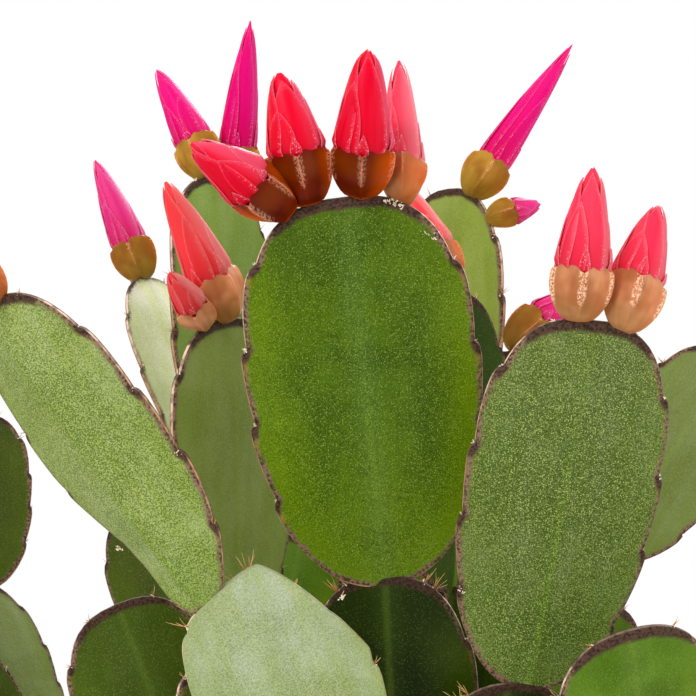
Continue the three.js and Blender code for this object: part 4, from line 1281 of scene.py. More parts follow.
def blade_batch(segment, master, green, key, fresh):
    """A blade with its green, its distances in mm and the strength of all that its skin can show."""
    points = blade_points(segment, master, key)
    wide, long = segment.width / MASTER_WIDTH, segment.length / MASTER_LENGTH
    shade = chance.uniform(*SHADES)
    edge_mm = master.values["edge_mm"] * min(wide, long)
    # The cork band across the joint, dark partly as cork and partly as painted shade in the crease.
    if key in JOINT_OF:
        edge_mm = np.minimum(edge_mm, JOINT_CORK_SHADE + CORK_SLOPE * abs(master.points[:, 2] - CORK_LINE))
    dark = green in DARK_GREENS
    return master, points, {
        "edge_mm": edge_mm,
        "from_rib_mm": master.values["from_rib_mm"] * wide,
        "tint": np.array(GREENS[green]) * (shade, shade, shade, 1),
        "rib": RIB_OF.get(key, 0.35),
        "sparkle": SPARKLE_OF.get(key, 0.2 if dark else 0.4),
        "fresh": fresh,
        "bark": 0.0,
        "cork": CORK_OF.get(green, 0.75),
        "rosy_cork": 0.5 if dark else 0.85,
        "rim_mm": RIM_OF.get(green, 0.12),
        "uv": master.values["uv"] + chance.uniform(0, 4, 2),
    }


def foot_batch(foot, tint):
    """The corky stub of a shoot, in its place in the soil."""
    return foot_master, foot_master.points + (*foot, FOOT_LOW), {**FOOT_VALUES, "tint": np.array(tint)}


# %% Tufts of bristles at the notches
HAIR_OF = {FRONT: 0.3, RIGHT_TOP: 0.35, LEFT_TOP: 0.6, LEFT_LOW: 0.8}  # size of the tufts
PLAIN_HAIR = 0.85
# Tufts on the flattened shoulders: mm across and up the segment, and size.
SHOULDER_TUFTS = {
    LEFT_LOW: (
        (-3.1, 47.9, 1.3), (-1.7, 48.5, 1.0), (0.0, 49.2, 1.4), (4.9, 44.9, 0.8), (-9.3, 44.9, 1.0),
    ),
    FRONT: ((4.6, 51.0, 0.3), (5.6, 50.7, 0.2), (6.6, 50.4, 0.3), (-3.0, 51.2, 0.2)),
}
# Pinches of wool on the front of a margin: mm across and up the segment, and how many hairs.
WOOL = {
    FRONT: ((5.6, 52.0, 14), (6.4, 51.6, 18), (7.2, 51.0, 14), (10.2, 47.4, 8), (11.0, 46.5, 10)),
}
BRISTLES, BRISTLE_LENGTH, BRISTLE_RADIUS, BRISTLE_SPREAD = (2, 4.4), (1.2, 3.0), 0.085, 0.34
WOOL_HAIRS, WOOL_LENGTH, WOOL_RADIUS, WOOL_SPREAD, WOOL_PATCH = 9, (0.22, 0.5), 0.13, 0.9, 0.17
PINCH_LENGTH, PINCH_RADIUS, PINCH_SPREAD, PINCH_PATCH, PINCH_OUT = (0.2, 0.5), 0.12, 0.8, 0.22, 0.45
BEND = (0.05, 0.3)  # how far a hair's tip bends aside, as a share of its length
NEAR_TIP, HIGHEST_PRESSED = 0.93, 0.84  # shares of the length
SHOULDER_PAIR, TIP_PAIR = (0.955, 0.975), ((1, 0.97), (-1, 0.98))
NOTCH_SIZE, SHOULDER_SIZE, TIP_SIZE = (0.4, 1.0), 1.25, 0.7  # shares of the segment's own tufts
TUFT_BELOW, TUFT_INSET, TUFT_UP, TIP_SIDEWAYS = 0.006, 0.5, 0.75, 0.45
woolly = np.random.default_rng(5)
print("segments with tufts of their own:", len(SHOULDER_TUFTS), "- pinches of wool:", len(WOOL[FRONT]))


# %% One hair, one tuft and all tufts of a segment
def hair(root, direction, length, radius, wool, source=chance):
    """One bent bristle or woolly hair as a batch."""
    across = unit(np.cross(direction, unit(source.normal(size=3))))
    up = np.cross(direction, across)
    x, y, z = bristle_master.points.T
    bend = source.uniform(*BEND) * length * z**2
    points = np.outer(x * radius + bend, across) + np.outer(y * radius, up)
    points = root + (points + np.outer(z * length, direction))
    return bristle_master, points, {"wool": wool}


def tuft(root, outward, size):
    """A few stiff bristles and a pinch of wool."""
    made = []
    for _ in range(round(chance.uniform(*BRISTLES) * min(1.4, size + 0.3))):
        way = unit(outward + chance.normal(scale=BRISTLE_SPREAD, size=3))
        made.append(hair(root, way, chance.uniform(*BRISTLE_LENGTH) * size, BRISTLE_RADIUS, 0.0))
    for _ in range(WOOL_HAIRS):
        way = unit(outward + chance.normal(scale=WOOL_SPREAD, size=3))
        at = root + chance.normal(scale=WOOL_PATCH, size=3)
        made.append(hair(at, way, chance.uniform(*WOOL_LENGTH), WOOL_RADIUS, 1.0))
    return made


def pinch(segment, across, up, count):
    """Wool that lies on the front of the margin."""
    root, made = segment.at(across, up / segment.length) + PINCH_OUT * segment.normal, []
    forward_up = 0.6 * segment.normal + 0.6 * segment.along
    for _ in range(count):
        way = unit(forward_up + woolly.normal(scale=PINCH_SPREAD, size=3))
        at = root + woolly.normal(scale=PINCH_PATCH, size=3)
        made.append(hair(at, way, woolly.uniform(*PINCH_LENGTH), PINCH_RADIUS, 1.0, woolly))
    return made


def edge_tuft(segment, side, t, size):
    """A tuft on the edge, at a share t of the length. Near the tip it points more upwards."""
    root = segment.at(side * (float(segment.half_width(t)) - TUFT_INSET), t)
    sideways = 1 if t < NEAR_TIP else TIP_SIDEWAYS
    return tuft(root, segment.side * side * sideways + segment.along * TUFT_UP, size)


def tufts(segment, key, children):
    """Tufts at every notch, and bigger ones at the shoulders where a segment grows from the tip."""
    size, found = HAIR_OF.get(key, PLAIN_HAIR), []
    offsets = [np.dot(child.base - segment.base, segment.side) / segment.width for child in children]
    highest = HIGHEST_PRESSED if key in PRESSED else 1.0
    for side, notches in NOTCHES.items():
        for t in notches:
            if t < highest:
                found += edge_tuft(segment, side, t - TUFT_BELOW, size * chance.uniform(*NOTCH_SIZE))
        if key not in PRESSED and children and not any(offset * side > 0.1 for offset in offsets):
            for t in SHOULDER_PAIR:
                found += edge_tuft(segment, side, t, size * SHOULDER_SIZE)
    for across, up, big in SHOULDER_TUFTS.get(key, ()):
        outward = segment.along + segment.side * 0.12 * across
        found += tuft(segment.at(across, up / segment.length - 0.004), outward, big)
    for across, up, count in WOOL.get(key, ()):
        found += pinch(segment, across, up, count)
    if not children:
        for side, t in TIP_PAIR:
            found += edge_tuft(segment, side, t, size * TIP_SIZE)
    return found


# %% All the shoots
def finish_piece(piece, slot, *nodes):
    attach(piece, "root")
    if nodes:
        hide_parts(*nodes)


def make_shoot(name, shoot):
    blades, hairs = [foot_batch(SHOOTS[name]["foot"], GREENS["low"])], []
    named = GREEN_OF.get(name, ("low",))
    for number, segment in enumerate(shoot):
        green = named[number] if number < len(named) else chance.choice(GROWN_GREENS)
        placed_one = number < len(SHOOTS[name]["segments"])
        master = fine_segment if name in FINE_SHOOTS and placed_one else plain_segment
        fresh = FRESH_OF.get(green, 0.25)
        blades.append(blade_batch(segment, master, green, (name, number), fresh))
        hairs += tufts(segment, (name, number), [other for other in shoot if other.carrier is segment])
    skin = copies(f"shoot_{name}_skin", blades, stem_skin)
    finish_piece(skin, "stem", f"shoot_{name}")
    finish_piece(copies(f"shoot_{name}_bristles", hairs, bristle_finish), "stem")
    return len(skin.data.polygons), len(hairs)


made = {name: make_shoot(name, shoot) for name, shoot in shoots.items()}
print("faces and hairs of each shoot:", made)

# %% [markdown]
# ## The cups
# A cup is a five-angled bowl. It starts as a ring of sixty points that is extruded and widened from
# the narrow seat to the rim, then turned in over a thin lip and closed below the petals. Its five
# ridges are drawn out afterwards, and the rim dips where each ridge ends.
# %% Master of the cup
CUP_SEAT = (0.3, -0.2)  # radius and height, as shares of the cup's own, and so are those that follow
CUP_LEVELS = (
    (0.5, -0.13), (0.64, -0.02), (0.75, 0.1), (0.86, 0.25), (0.94, 0.42), (0.99, 0.62), (1.0, 0.8),
    (0.99, 0.93), (0.97, 0.985),
)
CUP_LIP = ((0.93, 1.0), (0.87, 0.97), (0.8, 0.85), (0.3, 0.8))
RIDGES, RIDGE_OUT, RIDGE_IN = 5, 1.09, 0.84
BEAD, BEAD_WIDTH, DIP, DIP_WIDTH = 0.035, 3.5, 0.15, 13  # on a ridge, and in the rim above it
LINE_WIDTH, FLANK_WIDTH = 3.4, 9  # all these widths are in degrees round the cup


def from_ridge(angle):
    """Degrees to the nearest ridge."""
    step = 360 / RIDGES
    return np.abs((np.degrees(angle) + step / 2) % step - step / 2)


def make_cup_master():
    wide, high = CUP_SEAT
    piece = start_ring(60, wide)
    bpy.ops.transform.translate(value=(0, 0, high))
    bpy.ops.mesh.edge_face_add()
    for now_wide, now_high in CUP_LEVELS + CUP_LIP:
        next_ring((now_wide / wide, now_wide / wide, 1), (0, 0, now_high - high))
        wide, high = now_wide, now_high
    clean()
    master = Master(piece)
    x, y, z = master.points.T
    angle, radius = np.arctan2(y, x), np.hypot(x, y)
    gap = from_ridge(angle)
    flat_sided = np.cos(math.pi / RIDGES) / np.cos(math.pi / RIDGES - np.radians(gap))
    outline = RIDGE_OUT * flat_sided**RIDGE_IN + BEAD * bell(gap, BEAD_WIDTH)
    dip = DIP * bell(gap, DIP_WIDTH) - 0.03
    master.radius, master.angle, master.high = radius * outline, angle, z - dip * z**4
    master.values = {
        "high": z,
        "ridge": bell(gap, LINE_WIDTH) * np.clip((z - 0.05) * 6, 0, 1),
        "flank": bell(gap, FLANK_WIDTH) * np.clip((z - 0.1) * 5, 0, 1),
        "uv": np.stack([0.5 + angle / 30, z / 16], axis=1),
    }
    return master


cup_master = make_cup_master()
print("cup:", len(cup_master.faces), "faces, open edges:", cup_master.open_edges)

# %% [markdown]
# ## The petals
# The bud is a roll of petals that overlap like roof tiles: short pointed scales over the ridges of
# the cup, then the outer petals, then the long inner ones that close at the tip. One petal is
# modelled flat, as a thin solid of a grid, and then wrapped round the bud's own profile, with its own
# length, width and place in the roll. A closed spindle fills the middle.
# %% Masters of the petal and of the spindle
PETAL_THICKNESS = 0.16
SUNWARD = np.array([0.78, 0.32, 0.5])  # light falls from this side: a bud is painted paler and its cup painted lit here
LONG_FOOT = 0.7  # where it leaves the cup, a long bud is this much of a young one's width
SPINDLE_RINGS = 12


def make_petal_master(columns, rows):
    """A flat petal: across -1 to 1, along 0 to 1, with its thickness in z from 0 to 1."""
    deselect()
    bpy.ops.mesh.primitive_grid_add(x_subdivisions=columns, y_subdivisions=rows, size=2)
    piece = bpy.context.object
    bpy.ops.object.mode_set(mode="EDIT")
    bpy.ops.mesh.select_all(action="SELECT")
    bpy.ops.transform.resize(value=(1, 0.5, 1))
    bpy.ops.transform.translate(value=(0, 0.5, 0))
    bpy.ops.object.mode_set(mode="OBJECT")
    apply_modifier(piece, "SOLIDIFY", thickness=1.0, offset=1.0, use_even_offset=False)
    bpy.ops.object.mode_set(mode="EDIT")
    clean()
    return Master(piece)


def make_spindle_master():
    piece = start_ring(16, 1.0)
    bpy.ops.mesh.edge_face_add()
    for _ in range(SPINDLE_RINGS):
        next_ring((1, 1, 1), (0, 0, 1 / SPINDLE_RINGS))
    clean()
    return Master(piece)


petal_master, spindle_master = make_petal_master(10, 14), make_spindle_master()
for name, master in (("petal", petal_master), ("spindle", spindle_master)):
    print(name + ":", len(master.faces), "faces, open edges:", master.open_edges)


# %% The profile of a bud
BLUNT_TAPER, BLUNT_END, LONG_START, LONG_END = 0.62, 8, 1.5, 0.8  # of a young bud and a long one
MOUTH_FIT, THINNEST = 0.97, 0.04  # the bud's width in the cup's mouth and at its tip


def bud_radius(bud, share):
    """Radius of the closed bud in mm at shares of the height above its cup."""
    share = np.clip(share, 0, 1)
    blunt = (1 - BLUNT_TAPER * share) * (1 - share**BLUNT_END) ** 0.5
    slender = LONG_FOOT * (1 - share**LONG_START) ** LONG_END
    between = blunt + (slender - blunt) * bud.sharp
    return CUP_RADIUS * MOUTH_FIT * bud.size * np.maximum(THINNEST, between)


# %% Wrapping a petal round a bud
PETAL_WAIST, PETAL_BLUNT = 0.14, 0.75  # how much a petal swells in its middle, how blunt it ends
FOOT_TUCK, OVERLAP_CROWN = 0.1, 0.12  # its foot is tucked in, and its middle bulges by these mm
FOOT_LIFT, TIP_CLOSING, CLOSES_FROM, CLOSES_OVER = 0.35, 0.85, 0.8, 0.2  # it closes to the tip
COVERED_EDGE = 2.2  # the side that a neighbour covers has a thinner painted pale edge, less lit through, by this factor
LIGHT_SIDE_PETAL, LIGHT_SIDE_POINT, LIGHT_SIDE_MOST = 0.2, 0.62, 0.68  # painted paler on the sunward side of petal and bud, where the light falls
SPINDLE_FIT, SPINDLE_INSET = 0.86, 0.12  # the spindle's share of the bud's radius, less these mm


def wrap_petal(bud, turn, reach, lift, half_angle, tilt, pointed, sink=0.07):
    """A petal of the roll. turn is its middle in degrees, reach the share of the height it covers."""
    u, v, w = petal_master.points.T
    start = CUP_HEIGHT * bud.size + PETAL_GAP
    span = bud.length - start
    full = np.maximum(1 - v**pointed, 0) ** PETAL_BLUNT
    share = -sink + (reach + sink) * v
    radius = bud_radius(bud, share) * (1 - FOOT_TUCK * np.clip(-share / sink, 0, 1))
    half = np.radians(half_angle) * (1 - PETAL_WAIST + PETAL_WAIST * np.sin(math.pi * v)) * full
    closing = 1 - TIP_CLOSING * np.clip((share - CLOSES_FROM) / CLOSES_OVER, 0, 1)
    offset = lift * bud.size * (FOOT_LIFT + (1 - FOOT_LIFT) * v) * closing
    crown = -OVERLAP_CROWN * np.cos(math.pi * u) * bud.size * (1 - v)
    radius = radius + offset + tilt * bud.size * u * (1 - v**2) + crown
    radius = radius + PETAL_THICKNESS * bud.size * (w - 1)
    angle = math.radians(turn) + half * u
    points = bud.at(np.maximum(radius, 0.02), angle, start + share * span)
    covered = np.where(u > 0, 1.0, COVERED_EDGE)
    edge = np.minimum((1 - abs(u)) * radius * half * covered, (1 - v) * reach * span * 0.5)
    middle = math.cos(math.radians(turn)) * bud.across + math.sin(math.radians(turn)) * bud.through
    outward = np.outer(np.cos(angle), bud.across) + np.outer(np.sin(angle), bud.through)
    flat = np.stack([u * radius * half, share * span], axis=1)
    return petal_master, points, {
        "painted_light_side": np.clip(LIGHT_SIDE_PETAL * middle @ SUNWARD + LIGHT_SIDE_POINT * outward @ SUNWARD, 0, LIGHT_SIDE_MOST),
        "edge_mm": np.maximum(edge, 0),
        "along": share,
        "uv": flat / UV_SPAN + chance.uniform(0, 3, 2),
    }


def spindle(bud):
    """The closed middle of the bud, just inside its petals."""
    x, y, z = spindle_master.points.T
    start = CUP_HEIGHT * bud.size
    share = -0.1 + 1.08 * z
    radius = bud_radius(bud, share) * SPINDLE_FIT - SPINDLE_INSET
    angle = np.arctan2(y, x)
    points = bud.at(np.maximum(radius, 0.04), angle, start + share * (bud.length - start))
    uv = np.stack([angle / 40, share / 8], axis=1)
    return spindle_master, points, {"painted_light_side": 0.0, "edge_mm": 0.9, "along": share, "uv": uv}


# %% [markdown]
# ## Colour of the buds
# The buds near the front are a hot red with pink edges, the ones behind are magenta, and those low on
# the left lean to salmon. Their cups go from maroon in front to olive or tan behind: each cluster has
# the colour of its petals, how far its cups have aged, the colour they age to, and how far the light
# reaches round them.
# %% Palette of the clusters
RED = (linear(238, 0, 42), linear(250, 108, 142))
SALMON = (linear(255, 64, 70), linear(255, 160, 156))
CORAL = (linear(252, 50, 82), linear(255, 150, 160))
MAGENTA = (linear(246, 0, 122), linear(250, 80, 166))
PINK = (linear(242, 44, 130), linear(248, 130, 186))
OLIVE, TAN = linear(204, 154, 56), linear(255, 180, 130)
PALETTE = {
    "front_a": (RED, 0.0, OLIVE, 0.05),
    "front_b": (RED, 0.0, OLIVE, 0.45),
    "front_c": (CORAL, 0.45, TAN, 0.45),
    "right_a": (CORAL, 0.7, TAN, 0.35),
    "middle_left_a": (SALMON, 0.8, TAN, 0.3),
    "middle_a": (SALMON, 0.4, TAN, 0.2),
    "middle_right_a": (PINK, 0.6, OLIVE, 0.2),
    "back_middle_left_a": (MAGENTA, 1.0, OLIVE, 0.0),
    "back_left_a": (PINK, 0.7, OLIVE, 0.0),
    "back_right_a": (MAGENTA, 0.9, OLIVE, 0.0),
    "back_right_b": (PINK, 0.8, OLIVE, 0.0),
}
OUTER_PALETTES = (
    (RED, 0.2, OLIVE, 0.2),
    (SALMON, 0.4, TAN, 0.2),
    (MAGENTA, 0.8, OLIVE, 0.0),
    (PINK, 0.6, OLIVE, 0.0),
)
SCURFY = {"right_a": 1.0, "front_a": 0.3, "front_b": 0.2}  # how much pale scurf lies beside the ridges
print("palettes:", len(PALETTE), "named,", len(OUTER_PALETTES), "for the outer clusters")

# %% [markdown]
# ## The roll of each bud
# Three rings of petals make a roll, each listed from the inside out with the fifths of the circle
# that hold a petal. Where two numbers stand in brackets, every petal draws its own value between
# them, so that no two buds close alike. The light falls on one side of every bud and cup.
# %% Clusters of buds
ALL_FIVE = (0, 1, 2, 3, 4)
PETAL_RINGS = (  # fifths, stray of the middle in degrees, share of the height, lift, and its shape
    (ALL_FIVE, (-6, 6), (0.86, 1.0), (0.03, 0.12), dict(half_angle=49, tilt=0.13, pointed=5.0)),
    ((0.5, 2.5, 4.5), (-7, 7), (0.38, 0.7), 0.2, dict(half_angle=36, tilt=0.1, pointed=3.0)),
    (ALL_FIVE, 0, (0.1, 0.2), 0.36, dict(half_angle=14, tilt=0.0, pointed=1.3, sink=0.11)),
)
MOUTH_CLOSING = 0.7  # how far a cup follows the slender foot of a long bud
LIT_SLOPE, LIT_START, LIT_MOST = 0.9, 0.25, 0.8


def drawn(value):
    """A draw between two numbers, or the one number itself."""
    return chance.uniform(*value) if isinstance(value, tuple) else value


def petals_of(bud):
    """The whole roll: spindle, long inner petals, outer petals, and the scales on the ridges."""
    parts = [spindle(bud)]
    for fifths, stray, reach, lift, shape in PETAL_RINGS:
        for fifth in fifths:
            turn = fifth * 360 / RIDGES + drawn(stray)
            parts.append(wrap_petal(bud, turn, drawn(reach), drawn(lift), **shape))
    return parts


def cup_batch(bud, aged, mature, glow, scurf):
    """The cup under a bud, with the light that reaches each of its points."""
    mouth = 1 - MOUTH_CLOSING * (1 - LONG_FOOT) * bud.sharp * np.clip(cup_master.high, 0, 1) ** 2.5
    radius = CUP_RADIUS * bud.size * cup_master.radius * mouth
    high = CUP_HEIGHT * bud.size * cup_master.high
    points = bud.at(radius, cup_master.angle, high)
    sideways = points - bud.at(np.zeros(len(high)), cup_master.angle, high)
    sunward = sideways @ SUNWARD / (CUP_RADIUS * bud.size)
    lit = np.clip(LIT_SLOPE * sunward - LIT_START + glow, 0, LIT_MOST)
    return cup_master, points, {"aged": aged, "tint": np.array(mature), "lit": lit, "scurf": scurf}


def make_cluster(name, buds):
    outer = OUTER_PALETTES[ord(name[-1]) % len(OUTER_PALETTES)]
    (core, rosy), aged, mature, glow = PALETTE.get(name, outer)
    cups = [cup_batch(bud, aged, mature, glow, SCURFY.get(name, 0.0)) for bud in buds]
    cup = copies(f"{name}_cup_skin", cups, cup_finish, angle=50)
    finish_piece(cup, "bud_cup", f"bud_cup_{name}")
    tints = {"tint": np.array(core), "tint_edge": np.array(rosy)}
    for number, bud in enumerate(buds, 1):
        parts = [(master, points, {**own, **tints}) for master, points, own in petals_of(bud)]
        roll = copies(f"{name}_petals_{number}", parts, petal_finish)
        finish_piece(roll, "petal", f"bud_petals_{name}{number}")
    return len(buds)


print("buds dressed:", sum(make_cluster(name, buds) for name, buds in clusters.items()))

# %% [markdown]
# ## Clay and soil
# The pot is plain unglazed clay: warm orange-brown, blotched where water soaks through, with chalky
# bloom low down and along the rim, and faint rings from the machine that pressed it. The soil is dark
# peat with lighter grit in it.
# %% Finish of the clay
FIRED, FIRED_DARK, CHALK = linear(190, 104, 66), linear(168, 84, 52), linear(222, 190, 166)
RIM_CHALK, SPECK = linear(214, 152, 118), linear(120, 62, 40)
CHALKY_FOOT, CHALKY_RIM = (0.0, 0.035), (0.1, 0.104)  # heights in metres that the bloom fades between


def make_clay():
    material, tree, shader = new_material("fired_clay", specular_ior_level=0.3)
    patches = effect(tree, "blotches", Scale=34.0, Detail=5.0)
    colour = blend(tree, patches, FIRED, FIRED_DARK)
    place = add_node(tree, "ShaderNodeTexCoord").outputs["Object"]
    height = add_node(tree, "ShaderNodeSeparateXYZ", {0: place}).outputs[2]
    chalk = effect(tree, "blotches", Scale=75.0, Detail=6.0)
    chalk = times(tree, chalk, 0.5, fade(tree, height, *CHALKY_FOOT, 0.9, 0.15))
    colour = blend(tree, chalk, colour, CHALK)
    rim = times(tree, fade(tree, height, *CHALKY_RIM, 0.0, 0.45), effect(tree, "blotches", Scale=260.0))
    colour = blend(tree, rim, colour, RIM_CHALK)
    specks = times(tree, effect(tree, "flecks", Scale=900.0, Share=0.3), 0.5)
    colour = blend(tree, specks, colour, SPECK)
    only_height = add_node(tree, "ShaderNodeCombineXYZ", {2: height}).outputs[0]
    rings = times(tree, noise(tree, only_height, 700.0, 3.0), 1.4)
    relief = plus(tree, rings, effect(tree, "grain", Scale=1500.0))
    rough = fade(tree, patches, 0.0, 1.0, 0.78, 0.9)
    wire(tree, shader, Base_Color=colour, Roughness=rough, Normal=bump(tree, relief, 0.4, 0.0003))
    return material


clay = make_clay()
print("clay:", len(clay.node_tree.nodes), "nodes")

# %% Finish of the soil
PEAT, PEAT_DRY = linear(44, 31, 22), linear(86, 62, 44)
GRIT, FIBRE = linear(206, 198, 182), linear(128, 96, 66)


def make_soil_finish():
    material, tree, shader = new_material("peat_soil", specular_ior_level=0.25)
    colour = blend(tree, effect(tree, "blotches", Scale=260.0, Detail=6.0), PEAT, PEAT_DRY)
    colour = blend(tree, attribute(tree, "grit"), colour, GRIT)
    fibre = effect(tree, "flecks", Scale=700.0, Share=0.3)
    colour = blend(tree, times(tree, fibre, 0.5), colour, FIBRE)
    relief = plus(tree, effect(tree, "grain", Scale=700.0, Noise_Scale=900.0), fibre)
    rough = fade(tree, effect(tree, "blotches", Scale=120.0), 0.0, 1.0, 0.85, 1.0)
    wire(tree, shader, Base_Color=colour, Roughness=rough, Normal=bump(tree, relief, 0.8, 0.0008))
    return material


soil_finish = make_soil_finish()
print("soil finish:", len(soil_finish.node_tree.nodes), "nodes")

# %% [markdown]
# ## The pot
# A clay pot is turned, so its ring is extruded up the outside, over the rim, down the inside and
# across the floor. A screw modifier would do it too, but extruding shows the wall's section step by
# step. The three drain holes are cut with a boolean, as a potter's cutter does.
# %% Pot
POT_RIM_HEIGHT, POT_FLOOR, POT_ROUNDING = 20.0, 8.0, 1.5
DRAIN_RADIUS, DRAIN_RING, DRAINS = 4.5, 24.0, 3
ROUND_POINTS, WALL_POINTS = 120, 9  # round the pot, and up each side of its wall


def pot_outer_radius(z):
    return POT_BASE + (POT_TOP - POT_BASE) * z / POT_HEIGHT


def rounded(centre, start, end, radius, steps=4):
    """Points on a quarter of rounding, as (radius, height), angles in degrees."""
    angles = np.radians(np.linspace(start, end, steps + 1))
    return [(centre[0] + radius * math.cos(a), centre[1] + radius * math.sin(a)) for a in angles]


def pot_profile():
    """The wall's section as (radius, height): up the outside, over the rim, down to the floor."""
    rim, low, r = POT_TOP + POT_RIM_PROUD, POT_HEIGHT - POT_RIM_HEIGHT, POT_ROUNDING
    wall = [(pot_outer_radius(z), z) for z in np.linspace(2 * r, low - 2, WALL_POINTS)]
    heights = np.linspace(POT_HEIGHT - 3, POT_FLOOR + 2, WALL_POINTS)
    inside = [(pot_inner_radius(z), z) for z in heights]
    return [
        *rounded((POT_BASE - r, r), -90, 0, r), *wall,
        (pot_outer_radius(low) + 0.4, low), (rim - r, low), *rounded((rim - r, low + r), -90, 0, r),
        (rim - 0.2, low + 0.5 * POT_RIM_HEIGHT), *rounded((rim - r, POT_HEIGHT - r), 0, 90, r),
        *rounded((pot_inner_radius(POT_HEIGHT) + r, POT_HEIGHT - r), 90, 180, r), *inside,
        (pot_inner_radius(POT_FLOOR) - 2, POT_FLOOR),
    ]


def make_pot():
    profile = pot_profile()
    piece = start_ring(ROUND_POINTS, profile[0][0])
    bpy.ops.mesh.edge_face_add()
    for before, now in zip(profile, profile[1:]):
        next_ring((now[0] / before[0], now[0] / before[0], 1), (0, 0, now[1] - before[1]))
    clean()
    for number in range(DRAINS):
        angle = math.radians(number * 360 / DRAINS + 90)
        deselect()
        centre = (DRAIN_RING * math.cos(angle), DRAIN_RING * math.sin(angle), POT_FLOOR / 2)
        bpy.ops.mesh.primitive_cylinder_add(
            vertices=36, radius=DRAIN_RADIUS, depth=2 * POT_FLOOR, location=centre)
        cutter = bpy.context.object
        apply_modifier(piece, "BOOLEAN", operation="DIFFERENCE", object=cutter, solver="EXACT")
        bpy.data.objects.remove(cutter)
    return Master(piece)


pot_master = make_pot()
pot = copies("clay_pot", [(pot_master, pot_master.points, {})], clay, angle=35)
finish_piece(pot, "clay", "pot")
print("pot:", len(pot.data.polygons), "faces, open edges:", pot_master.open_edges)

# %% [markdown]
# ## The soil
# The soil is a low mound that fills the pot to a finger below the rim. Its ring is extruded inward in
# narrow steps, and the points are then raised by the mound's own rule and roughened. Crumbs of peat
# and a few pale grains of grit lie scattered on top, each one a copy of a small dented ball.
# %% Mound of soil
SOIL_EDGE, SOIL_MOUND, SOIL_ROUGHNESS, SOIL_GAP = 93.0, 3.0, 0.9, 0.4
SOIL_RINGS, FINE_WAVES, FINE_NOISE = 40, 0.28, 0.13
CRUMBS, GRIT_SHARE, CRUMB_REACH = 620, 0.1, 48.5
CRUMB_SIZE, CRUMB_SHAPE, CRUMB_LIFT = (0.35, 1.3), (0.6, 1.15), 0.35


def soil_height(x, y):
    """Height of the mound in mm."""
    share = np.hypot(x, y) / pot_inner_radius(SOIL_EDGE)
    waves = np.sin(0.41 * x + 1.3) * np.cos(0.37 * y - 0.4) + 0.6 * np.sin(0.83 * (x + y))
    return SOIL_EDGE + SOIL_MOUND * (1 - share**2) + SOIL_ROUGHNESS * waves


def make_soil():
    low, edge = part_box("soil")[0].z * 1000, pot_inner_radius(SOIL_EDGE) - SOIL_GAP
    bottom = pot_inner_radius(low) - SOIL_GAP
    piece = start_ring(ROUND_POINTS, bottom)
    bpy.ops.mesh.edge_face_add()
    next_ring((edge / bottom, edge / bottom, 1), (0, 0, SOIL_EDGE - low))
    for left in range(SOIL_RINGS - 1, 0, -1):
        next_ring((left / (left + 1), left / (left + 1), 1))
    bpy.ops.mesh.merge(type="CENTER")
    clean()
    master = Master(piece)
    x, y, z = master.points.T
    on_top = z > 0.5 * (SOIL_EDGE - low)
    fine = FINE_WAVES * np.sin(2.3 * x + 1.7 * y) * np.sin(1.9 * y - 1.1 * x)
    fine = fine + chance.normal(scale=FINE_NOISE, size=len(x))
    inner = np.hypot(x, y) < edge - 0.8
    points = np.stack([x, y, np.where(on_top, soil_height(x, y) + fine * inner, low)], axis=1)
    return master, points, {"grit": 0.0}


# %% Crumbs of peat and grit
def make_crumb_master():
    """A small dented ball."""
    deselect()
    bpy.ops.mesh.primitive_ico_sphere_add(subdivisions=2, radius=1)
    master = Master(bpy.context.object)
    x, y, z = master.points.T
    dents = 1 + 0.16 * np.sin(3.1 * x + 1) * np.sin(2.7 * y + 2) + 0.12 * np.sin(4.3 * z + 2 * x)
    master.points *= dents[:, None]
    return master


def rotated_points(points, angle):
    """Points turned about the vertical."""
    c, s = math.cos(angle), math.sin(angle)
    return points @ np.array([[c, s, 0], [-s, c, 0], [0, 0, 1]])


def crumb(master):
    """A crumb of its own size and shape, somewhere on the mound."""
    angle, reach = chance.uniform(0, 2 * math.pi), math.sqrt(chance.uniform(0, 1)) * CRUMB_REACH
    x, y = reach * math.cos(angle), reach * math.sin(angle)
    size = chance.uniform(*CRUMB_SIZE) ** 1.3
    lengths = size * chance.uniform(*CRUMB_SHAPE, 3)
    turned = rotated_points(master.points * lengths, chance.uniform(0, 2 * math.pi))
    place = (x, y, float(soil_height(x, y)) + CRUMB_LIFT * lengths[2])
    return master, turned + place, {"grit": float(chance.uniform() < GRIT_SHARE)}


crumb_master = make_crumb_master()
soil = copies("peat", [make_soil()], soil_finish, angle=180)
finish_piece(soil, "soil", "soil")
crumbs = copies("peat_crumbs", [crumb(crumb_master) for _ in range(CRUMBS)], soil_finish, angle=180)
finish_piece(crumbs, "soil")
print("soil faces:", len(soil.data.polygons), "- crumbs:", CRUMBS)

# %% [markdown]
# ## Floor and light
# The plant stands on a plain pale floor in a white studio. The white surroundings light it evenly
# from all sides. A broad lamp from the upper left gives the faces their form, and a lamp behind makes
# the thin edges of petals and segments glow, a glow that their finishes also carry as painted light.
# %% Floor
FLOOR_RADIUS, FLOOR_DROP = 0.52, 0.0006  # metres
PAPER, PAPER_SHADE = linear(238, 237, 234), linear(232, 231, 228)


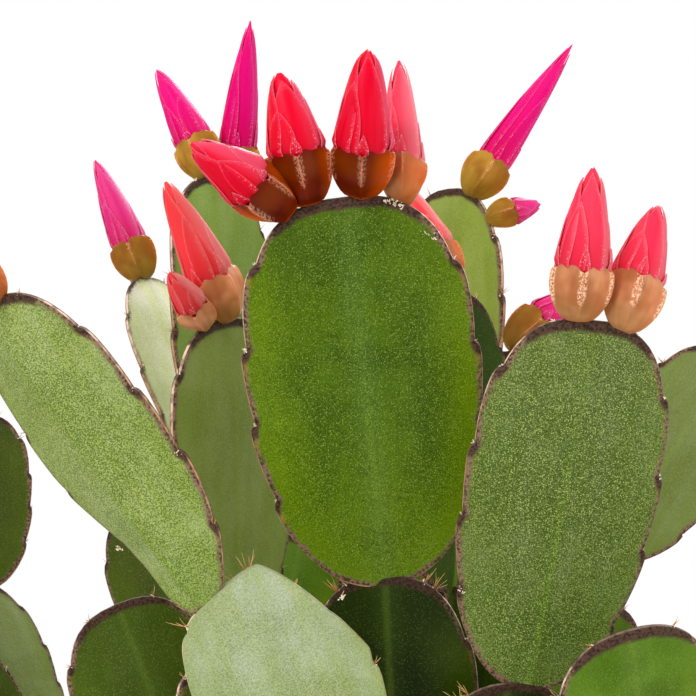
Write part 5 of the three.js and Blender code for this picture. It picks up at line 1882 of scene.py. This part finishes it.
def make_floor():
    piece = start_ring(96, FLOOR_RADIUS)
    bpy.ops.mesh.edge_face_add()
    bpy.ops.transform.translate(value=(0, 0, -FLOOR_DROP))
    bpy.ops.mesh.inset(thickness=0.02)
    bpy.ops.object.mode_set(mode="OBJECT")
    bpy.ops.object.transform_apply(location=True, rotation=True, scale=True)
    material, tree, shader = new_material("studio_floor", specular_ior_level=0.2)
    paper = blend(tree, effect(tree, "blotches", Scale=9.0), PAPER, PAPER_SHADE)
    rough = fade(tree, effect(tree, "blotches", Scale=50.0), 0.0, 1.0, 0.7, 0.8)
    wire(tree, shader, Base_Color=paper, Roughness=rough)
    piece.data.materials.append(material)
    piece.name = "floor"
    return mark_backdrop(piece)


floor = make_floor()
print("floor:", floor)

# %% Surroundings and lamps
PLANT_CENTRE = (0, -0.04, 0.2)
LAMPS = {  # place and size in metres, watts
    "key": ((-0.45, -0.75, 0.75), 0.55, 4.4),
    "fill": ((0.7, -0.5, 0.35), 0.6, 0.8),
    "back": ((0.25, 0.75, 0.7), 0.5, 6.0),
}
SEEN_WHITE, WHITE_LIGHT = 1.0, 0.78  # strength of the surroundings in the picture, and as a light


def make_world():
    """White surroundings that are brighter to the eye than as a light."""
    world = bpy.data.worlds.new("studio")
    world.use_nodes = True
    tree = world.node_tree
    surroundings = tree.nodes["Background"]
    surroundings.inputs["Color"].default_value = (1, 1, 1, 1)
    seen = add_node(tree, "ShaderNodeLightPath").outputs["Is Camera Ray"]
    strength = fade(tree, seen, 0.0, 1.0, WHITE_LIGHT, SEEN_WHITE)
    tree.links.new(strength, surroundings.inputs["Strength"])
    return world


def add_lamp(name, place, size, watts):
    """A round lamp that looks at the plant."""
    data = bpy.data.lights.new(name, "AREA")
    data.shape, data.size, data.energy = "DISK", size, watts
    lamp = bpy.data.objects.new(name, data)
    bpy.context.collection.objects.link(lamp)
    lamp.location = place
    way = np.array(PLANT_CENTRE) - np.array(place)
    lamp.rotation_euler = (
        math.acos(-way[2] / np.linalg.norm(way)),
        0,
        math.atan2(way[1], way[0]) - math.pi / 2,
    )


bpy.context.scene.world = make_world()
for name, (place, size, watts) in LAMPS.items():
    add_lamp(name, place, size, watts)
bpy.context.scene.view_settings.view_transform = "Standard"
bpy.context.scene.view_settings.look = "None"

# %% [markdown]
# ## Sizes
# The dressed plant has to keep the size of its solids, so both boxes are measured and written down
# side by side before the piece table is made.
# %% Measure and finish
for name, shoot in shoots.items():
    low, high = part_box(f"shoot_{name}")
    skin = bpy.data.objects[f"shoot_{name}_skin"]
    corners = np.array([v.co for v in skin.data.vertices])
    over = max((np.array(low) - corners.min(0)).max(), (corners.max(0) - np.array(high)).max())
    print(name, "stands", round(over * 1000, 2), "mm out of its solid's box")
